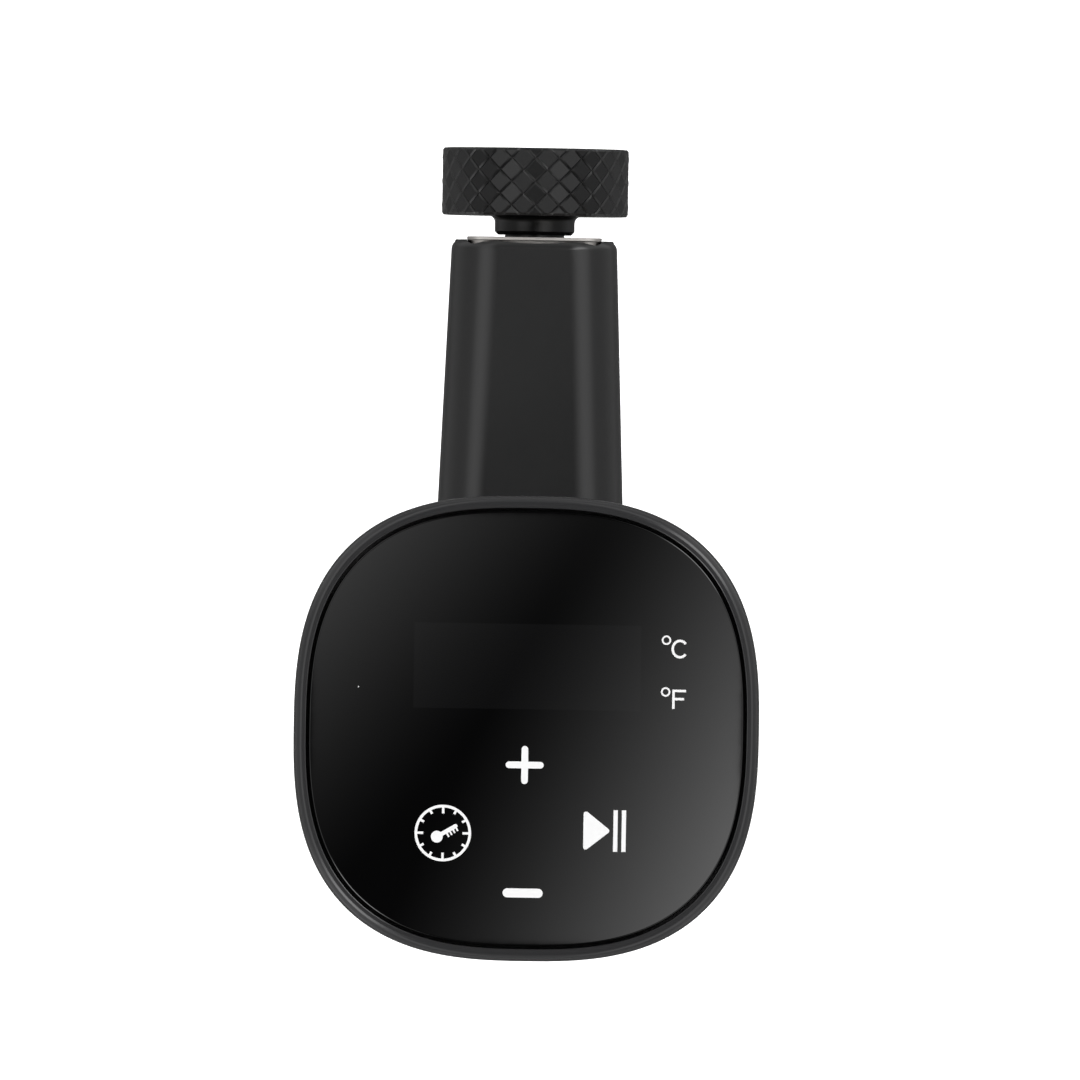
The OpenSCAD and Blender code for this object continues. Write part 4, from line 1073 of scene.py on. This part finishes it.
class CIRCULATOR_OT_knob(bpy.types.Operator):
    """Knob with its hub, diamond knurl and end cap"""

    bl_idname = "circulator.knob"
    bl_label = "Knurled knob"

    def execute(self, context):
        """One grid of rings from the screw hole over hub, fillet and knurl to the cap's recess.

        The knurl's rows lie a tenth of a diamond apart and its quads are cut along the nearer groove.
        """
        sizes = context.scene.circulator_clamp
        low, high = extent("clamp_knob")
        axis, count = (low[2] + high[2]) / 2, sizes.diamonds
        big, near, far = high[2] - axis, high[1] - 13.9, high[1]
        cols = count * 10
        v = np.r_[-1.327, np.arange(-13, 14) / 10, 1.327][:, None]
        knurl = knurl_radius(np.arange(cols) / 10, v, big, count, sizes.knurl_depth / MM)
        places = (near + far) / 2 + v[:, 0] * sizes.diamond_pitch / MM
        hole_r, shoulder_r, hub_r, fillet_r = 5.02, 6.1, 8.2, 1.4
        edge_in, edge_r = big - 1.1, big - 0.42
        t = np.linspace(0, np.pi / 2, 8)[1:]
        fillet = np.stack([hub_r + fillet_r * (1 - np.cos(t)), near - fillet_r * (1 - np.sin(t))], -1)
        hub = rounded([(hole_r, low[1]), (shoulder_r, low[1]), (shoulder_r, low[1] + 0.6),
                       (hub_r - 0.7, low[1] + 0.6), (hub_r, low[1] + 1.3), (hub_r, near - fillet_r)],
                      [0, 0.15, 0, 0.2, 0.2, 0], 4)
        before = [(0, far - 4.0), (hole_r, far - 4.0), *hub, *fillet, (edge_in, near),
                  (edge_r, near + 0.05)]
        recess = extent("knob_cap")[1][2] - axis + 0.1
        after = [(edge_r, far - 0.05), (edge_in, far), *rounded(
            [(recess + 0.5, far), (recess, far), (recess, far - 1.5), (0, far - 1.5)],
            [0, 0.25, 0.1, 0], 4)]
        rows = [*before, *zip(knurl, places), *after]
        points, faces = surface(turned(rows, "Y", (0, 0, axis), cols))
        where = np.concatenate([np.full(len(before), 9.0), v[:, 0], np.full(len(after), 9.0)])
        piece("clamp_knob_knurled", [(points, self.split(faces, where, cols))], "knob_black",
              "screw_and_knob", ["clamp_knob"], 14.0)
        self.cap(axis)
        return {"FINISHED"}

    @staticmethod
    def split(faces, where, cols):
        """Triangles of the grid's quads, cut along the groove direction nearer to each quad's middle."""
        corners = np.array(faces)
        row = corners[:, 0] // cols
        u = (corners[:, 0] % cols + 0.5) / 10
        v = (where[row] + where[np.minimum(row + 1, len(where) - 1)]) / 2
        falling = np.abs(u + v - np.round(u + v)) < np.abs(u - v - np.round(u - v))
        order = np.where(falling[:, None], np.array([1, 2, 3, 1, 3, 0]), np.array([0, 1, 2, 0, 2, 3]))
        return np.take_along_axis(corners, order, 1).reshape(-1, 3).tolist()

    @staticmethod
    def cap(axis):
        """The cap's profile has one shallow ring-shaped groove near its rim and a slightly dished face."""
        low, high = extent("knob_cap")
        r, dip = high[2] - axis, high[1] - 0.35
        line = rounded([(0, low[1]), (r, low[1]), (r, high[1]), (r - 1.6, high[1]), (r - 1.9, dip),
                        (r - 2.6, dip), (r - 2.9, high[1]), (0, high[1] - 0.25)],
                       [0, 0.1, 0.35, 0.1, 0.1, 0.1, 0.1, 0], 5)
        turned_piece("knob_cap_grooved", line, "gloss_black", "screw_and_knob", "knob_cap", "Y",
                     (0, 0, axis), 96, False, 25.0)


class CIRCULATOR_OT_pads(bpy.types.Operator):
    """Ribbed rubber pads of both jaws, and the pressure foot"""

    bl_idname = "circulator.pads"
    bl_label = "Jaw pads and pressure foot"

    def execute(self, context):
        """The fixed pad's face is a row of nine ribs, each the root of half a sine wave."""
        low, high = extent("jaw_pad")
        ribs, border, depth = 9, 0.8, 0.55
        first, last, back = low[2] + border, high[2] - border, high[1] - 0.9
        z = np.linspace(last, first, 113)
        wave = np.abs(np.sin((z - first) * np.pi / ((last - first) / ribs)))
        outline = np.concatenate([np.stack([high[1] - depth * (1 - np.sqrt(wave)), z], -1),
                                  [(back, low[2]), (low[1], low[2]), (low[1], high[2]), (back, high[2])]])
        piece("jaw_pad_ribbed", [prism(outline, low[0], high[0], 0.0, (2, 0, 1))], "black_rubber",
              "stick", ["jaw_pad"], 50.0)
        self.foot()
        return {"FINISHED"}

    @staticmethod
    def foot():
        """Turned profiles of the foot's ringed pad, plate and retaining ring."""
        low, high = extent("foot_pad")
        axis, raised = (low[2] + high[2]) / 2, low[1] + 0.6
        r = high[2] - axis
        rings = [(k * 2.2 + d, y) for k in range(5) for d, y in
                 ((0.5, low[1]), (1.3, low[1]), (1.7, raised), (2.3, raised))][:-1]
        line = rounded([(0, low[1]), *rings, (r, raised), (r, high[1]), (0, high[1])],
                       [0, *[0.2] * len(rings), 0.3, 0.1, 0], 4)
        place = ("Y", (0, 0, axis))
        turned_piece("foot_pad_ringed", line, "black_rubber", "pressure_foot", "foot_pad", *place, 72,
                     False, 50.0)
        low, high = extent("foot_plate")
        r, hub_r, socket_r, disc, socket = high[2] - axis, 7.2, 4.85, low[1] + 3.5, high[1] - 4.8
        line = rounded([(0, low[1]), (r, low[1]), (r, disc), (hub_r, disc), (hub_r, high[1]),
                        (socket_r, high[1]), (socket_r, socket), (0, socket)],
                       [0, 0.3, 0.9, 1.4, 0.4, 0.1, 0, 0], 6)
        turned_piece("foot_plate_turned", line, "satin_black", "pressure_foot", "foot_plate", *place, 72,
                     False)
        low, high = extent("foot_retainer")
        bore, outer = 3.25, 6.4
        line = rounded([(bore, low[1]), (outer, low[1]), (outer, high[1]), (bore, high[1])], 0.2, 4)
        turned_piece("foot_retainer_ring", line, "spring_steel", "pressure_foot", "foot_retainer", *place,
                     64)


# ---- Pump and heater ----


class CIRCULATOR_OT_heater(bpy.types.Operator):
    """Coiled heater tube, smooth along its whole path"""

    bl_idname = "circulator.heater"
    bl_label = "Heater coil"

    def execute(self, context):
        """A circle carried along a path of (radius, angle, height): leg, bend, coil, bend and leg.

        Each ring stands across the path, between the path's cross product with the outward ray and the
        cross product of that with the path.
        """
        sides = context.scene.circulator_body.heater_sides
        low, high = extent("heater_coil")
        r = 3.0
        coil_r, leg_r, bend, pitch = high[0] - r, 12.4, 8.0, 10.0
        bottom, top = low[2] + r, high[2]
        upper = bottom + 5 * pitch
        b = np.linspace(0, np.pi / 2, 13)
        lead, lead_in = math.degrees(bend / coil_r), math.degrees(bend / leg_r)
        coil, s = np.arange(6, 1801, 6), np.linspace(0, 1, 17)[1:]
        smooth = s * s * (3 - 2 * s)
        turned_to = lead + 1800 + 70
        down = np.linspace(top, upper + bend + 1, 12)
        up = np.linspace(bottom + bend + 1, top, 16)
        parts = [
            (np.full(12, coil_r), np.zeros(12), down),
            (np.full(13, coil_r), lead * (1 - np.cos(b)), upper + bend * (1 - np.sin(b))),
            (np.full(len(coil), coil_r), lead + coil, upper - pitch * coil / 360),
            (coil_r + (leg_r - coil_r) * smooth, lead + 1800 + 70 * s, np.full(16, bottom)),
            (np.full(12, leg_r), turned_to + lead_in * np.sin(b[1:]), bottom + bend * (1 - np.cos(b[1:]))),
            (np.full(16, leg_r), np.full(16, turned_to + lead_in), up),
        ]
        radius, angle, z = (np.concatenate([part[k] for part in parts]) for k in range(3))
        angle = np.radians(angle)
        path = np.stack([radius * np.cos(angle), radius * np.sin(angle), z], -1)
        along = np.gradient(path, axis=0)
        along /= np.linalg.norm(along, axis=1)[:, None]
        outward = path * (1, 1, 0)
        across = np.cross(along, outward)
        across /= np.linalg.norm(across, axis=1)[:, None]
        upward = np.cross(across, along)
        a = np.linspace(0, TURN, sides, endpoint=False)[None, :, None]
        rings = path[:, None] + r * (np.cos(a) * upward[:, None] + np.sin(a) * across[:, None])
        piece("heater_tube", [surface(rings, caps=True)], "heater_steel", "stick", ["heater_coil"], 60.0)
        return {"FINISHED"}


class CIRCULATOR_OT_kept_nodes(bpy.types.Operator):
    """Procedural finishes for the CAD nodes that stay as they are"""

    bl_idname = "circulator.kept_nodes"
    bl_label = "Finishes of the kept nodes"

    def execute(self, context):
        """Each kept node takes the finish that the record names for it."""
        for part in frame["record"]["subparts"]:
            node = frame["nodes"][part["node"]]
            if node.hide_render:
                continue
            for slot in node.material_slots:
                slot.material = finish_of(part["material_slot"])
        return {"FINISHED"}


# ---- Studio ----


def stage_square(name, centre, height, side):
    """A level square of that half side about a centre."""
    corners = np.array([(-1, -1), (1, -1), (1, 1), (-1, 1)]) * side + np.array(centre)
    mesh = bpy.data.meshes.new(name)
    mesh.from_pydata([(x, y, height) for x, y in corners], [], [(0, 1, 2, 3)])
    thing = bpy.data.objects.new(name, mesh)
    bpy.context.scene.collection.objects.link(thing)
    return thing


def light_dome(sizes):
    """World light: two long soft strips overhead, soft panels at the corners, white for the camera.

    With a the angle from straight up in the plane across the arm, the strips are
    step(a, 10 to 26 degrees) * fall(a, 42 to 60 degrees). The panels depend on the bearing from the arm's
    direction and on the height, which counts the same below the floor. Two narrow soft strips climb from
    opposite corners, where the bearing from X is near 45 degrees either way and the height 0.5 to 0.99.
    """
    world = bpy.data.worlds.new("studio_dome")
    bpy.context.scene.world = world
    world.use_nodes = True
    tree = world.node_tree
    w = Wiring(tree)
    plain, out = tree.nodes["Background"], tree.nodes["World Output"]
    x, y, z = w.split(w.add("ShaderNodeTexCoord").outputs["Generated"])
    side, ahead, level = w.math("ABSOLUTE", x), w.math("ABSOLUTE", y), w.math("ABSOLUTE", z)
    lean = w.math("ARCTAN2", side, z)
    strip = w.math("MULTIPLY", w.ramp(lean, math.radians(10), math.radians(26)),
                   w.ramp(lean, math.radians(42), math.radians(60), 1.0, 0.04))
    strip = w.math("MULTIPLY", strip, sizes.strip_light)
    bearing = w.math("ARCTAN2", side, ahead)
    near = w.math("MULTIPLY", w.ramp(bearing, math.radians(22), math.radians(42), 0.4, 1.0),
                  w.ramp(bearing, math.radians(58), math.radians(76), 1.0, 0.45))
    height = w.ramp(level, 0.45, 0.75, 1.0, 0.0)
    favoured = w.ramp(w.math("MULTIPLY", x, y), -0.1, 0.1, sizes.panel_light * 0.75, sizes.panel_light)
    panel = w.math("MULTIPLY", w.math("MULTIPLY", near, height), favoured)
    off_corner = w.math("ABSOLUTE", w.math("SUBTRACT", w.math("ARCTAN2", y, x), math.pi / 4))
    off_corner = w.math("PINGPONG", off_corner, math.pi / 2)
    corner = w.math("MULTIPLY", w.ramp(off_corner, math.radians(7), math.radians(22), 1.0, 0.0),
                    w.math("MULTIPLY", w.ramp(z, 0.5, 0.7), w.ramp(z, 0.95, 0.988, 1.0, 0.0)))
    corner = w.math("MULTIPLY", corner, sizes.corner_light)
    w.feed(plain.inputs["Strength"], w.math("MAXIMUM", w.math("MAXIMUM", strip, panel), corner))
    seen = w.add("ShaderNodeBackground")
    seen.inputs["Strength"].default_value = 1.0
    seen.inputs["Color"].default_value = (1, 1, 1, 1)
    plain.inputs["Color"].default_value = (1, 1, 1, 1)
    w.blend(out, w.add("ShaderNodeLightPath").outputs["Is Camera Ray"], plain.outputs[0], seen.outputs[0])


def floor_material(shade, glow):
    """Plain pale floor with a slight glow, see-through from below and for mirrored light."""
    made, w, shader, out = new_material("pale_floor_finish")
    shader.inputs["Base Color"].default_value = (*shade, 1)
    shader.inputs["Roughness"].default_value = 0.9
    shader.inputs["Emission Color"].default_value = (1, 1, 1, 1)
    path = w.add("ShaderNodeLightPath")
    w.feed(shader.inputs["Emission Strength"], w.math("MULTIPLY", path.outputs["Is Camera Ray"], glow))
    through = w.math("MAXIMUM", w.add("ShaderNodeNewGeometry").outputs["Backfacing"],
                     w.math("MULTIPLY", path.outputs["Is Glossy Ray"], 0.85))
    w.blend(out, through, shader.outputs[0], w.add("ShaderNodeBsdfTransparent").outputs[0])
    return made


def card_material(sizes):
    """Light of the gradient card, which the polished glass mirrors.

    Each of two slopes is a plain ramp across the glass, and the tone is the root of the sum of their
    squares. It is turned into light by ((tone + 0.055) / 1.055)^2.4 and divided by the part of the light
    that glass mirrors.
    """
    made, w, shader, out = new_material("gradient_card_light")
    made.node_tree.nodes.remove(shader)
    split, share = w.split(w.place()), sizes.card_height / sizes.camera_height
    x, y = (w.math("MULTIPLY_ADD", split[k], 1 / (MM * (1 + share)),
                   sizes.aim[k] * share / (MM * (1 + share))) for k in range(2))

    def slope(base, across, ahead):
        """Squared ramp base + across * x + ahead * y, nothing below zero."""
        level = w.math("MULTIPLY_ADD", x, across, w.math("MULTIPLY_ADD", y, ahead, base))
        level = w.math("MAXIMUM", level, 0.0)
        return w.math("MULTIPLY", level, level)

    right = slope(14.4, 1.42, -0.64)
    left = slope(-9.9, -0.95, 0.8)
    tone = w.math("SQRT", w.math("ADD", right, left))
    light = w.math("POWER", w.math("MULTIPLY_ADD", tone, 1 / (255 * 1.055), 0.055 / 1.055), 2.4)
    glow = w.add("ShaderNodeEmission")
    mirrored = 0.04
    w.feed(glow.inputs["Strength"], w.math("MULTIPLY", light, 1 / mirrored))
    w.feed(out.inputs["Surface"], glow.outputs[0])
    return made


class CIRCULATOR_OT_studio(bpy.types.Operator):
    """Camera from above, pale floor, soft light dome and gradient card"""

    bl_idname = "circulator.studio"
    bl_label = "Studio"

    def execute(self, context):
        """The lens is the sensor width times the camera's height over the picture's width."""
        sizes, scene = context.scene.circulator_studio, context.scene
        glass_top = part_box("touch_glass")[1][2]
        lens = bpy.data.cameras.new("top_camera")
        lens.sensor_width = 36.0
        lens.lens = 36.0 * sizes.camera_height / sizes.picture_width
        lens.clip_end = 400.0
        camera = bpy.data.objects.new("top_camera", lens)
        camera.location = (*sizes.aim, glass_top + sizes.camera_height)
        camera.rotation_euler = (0, 0, sizes.roll)
        scene.collection.objects.link(camera)
        scene.camera = camera
        scene.view_settings.view_transform = "Standard"
        floor = stage_square("pale_floor", sizes.aim, -sizes.floor_drop, 30.0)
        floor.data.materials.append(floor_material(scene.circulator_finishes.floor, sizes.floor_glow))
        share = sizes.card_height / sizes.camera_height
        card = stage_square("gradient_card", -share * np.array(sizes.aim), glass_top + sizes.card_height,
                            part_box("touch_glass")[1][0] * (1.05 + share))
        card.data.materials.append(card_material(sizes))
        for kind in ("camera", "diffuse", "transmission", "volume_scatter", "shadow"):
            setattr(card, "visible_" + kind, False)
        light_dome(sizes)
        return {"FINISHED"}


class CIRCULATOR_OT_finishes(bpy.types.Operator):
    """Materials of every finish, made before the pieces that wear them"""

    bl_idname = "circulator.finishes"
    bl_label = "Finishes"

    def execute(self, context):
        """Makes the shared shader groups and one material for each finish."""
        make_finishes(context.scene.circulator_finishes)
        return {"FINISHED"}


STEPS = (
    CIRCULATOR_OT_finishes, CIRCULATOR_OT_studio, CIRCULATOR_OT_touch_glass, CIRCULATOR_OT_signs,
    CIRCULATOR_OT_bezel, CIRCULATOR_OT_head_shell, CIRCULATOR_OT_body, CIRCULATOR_OT_bracket,
    CIRCULATOR_OT_end_plate, CIRCULATOR_OT_screw, CIRCULATOR_OT_knob, CIRCULATOR_OT_pads,
    CIRCULATOR_OT_skirt, CIRCULATOR_OT_heater, CIRCULATOR_OT_kept_nodes,
)
SETTINGS = {"head": HeadSizes, "body": BodySizes, "clamp": ClampSizes, "finishes": Finishes,
            "studio": StudioSizes}


class CIRCULATOR_PT_sidebar(bpy.types.Panel):
    """The steps that build the circulator, and their sizes and colours"""

    bl_idname = "CIRCULATOR_PT_sidebar"
    bl_label = "Sous vide circulator"
    bl_space_type = "VIEW_3D"
    bl_region_type = "UI"
    bl_category = "Circulator"

    def draw(self, context):
        """A button for each step, then a box for each group of settings."""
        for step in STEPS:
            self.layout.operator(step.bl_idname)
        for name, kind in SETTINGS.items():
            part = self.layout.box()
            part.label(text=name.capitalize())
            for key in kind.__annotations__:
                part.prop(getattr(context.scene, "circulator_" + name), key)


def register():
    """Registers the settings, the steps and the panel."""
    for name, kind in SETTINGS.items():
        bpy.utils.register_class(kind)
        setattr(bpy.types.Scene, "circulator_" + name, PointerProperty(type=kind))
    for step in (*STEPS, CIRCULATOR_PT_sidebar):
        bpy.utils.register_class(step)


def unregister():
    """Takes away what register() added."""
    for step in (CIRCULATOR_PT_sidebar, *STEPS[::-1]):
        bpy.utils.unregister_class(step)
    for name, kind in SETTINGS.items():
        delattr(bpy.types.Scene, "circulator_" + name)
        bpy.utils.unregister_class(kind)


def main():
    register()
    for step in STEPS:
        getattr(bpy.ops.circulator, step.bl_idname.split(".")[1])()


if __name__ == "__main__":
    main()
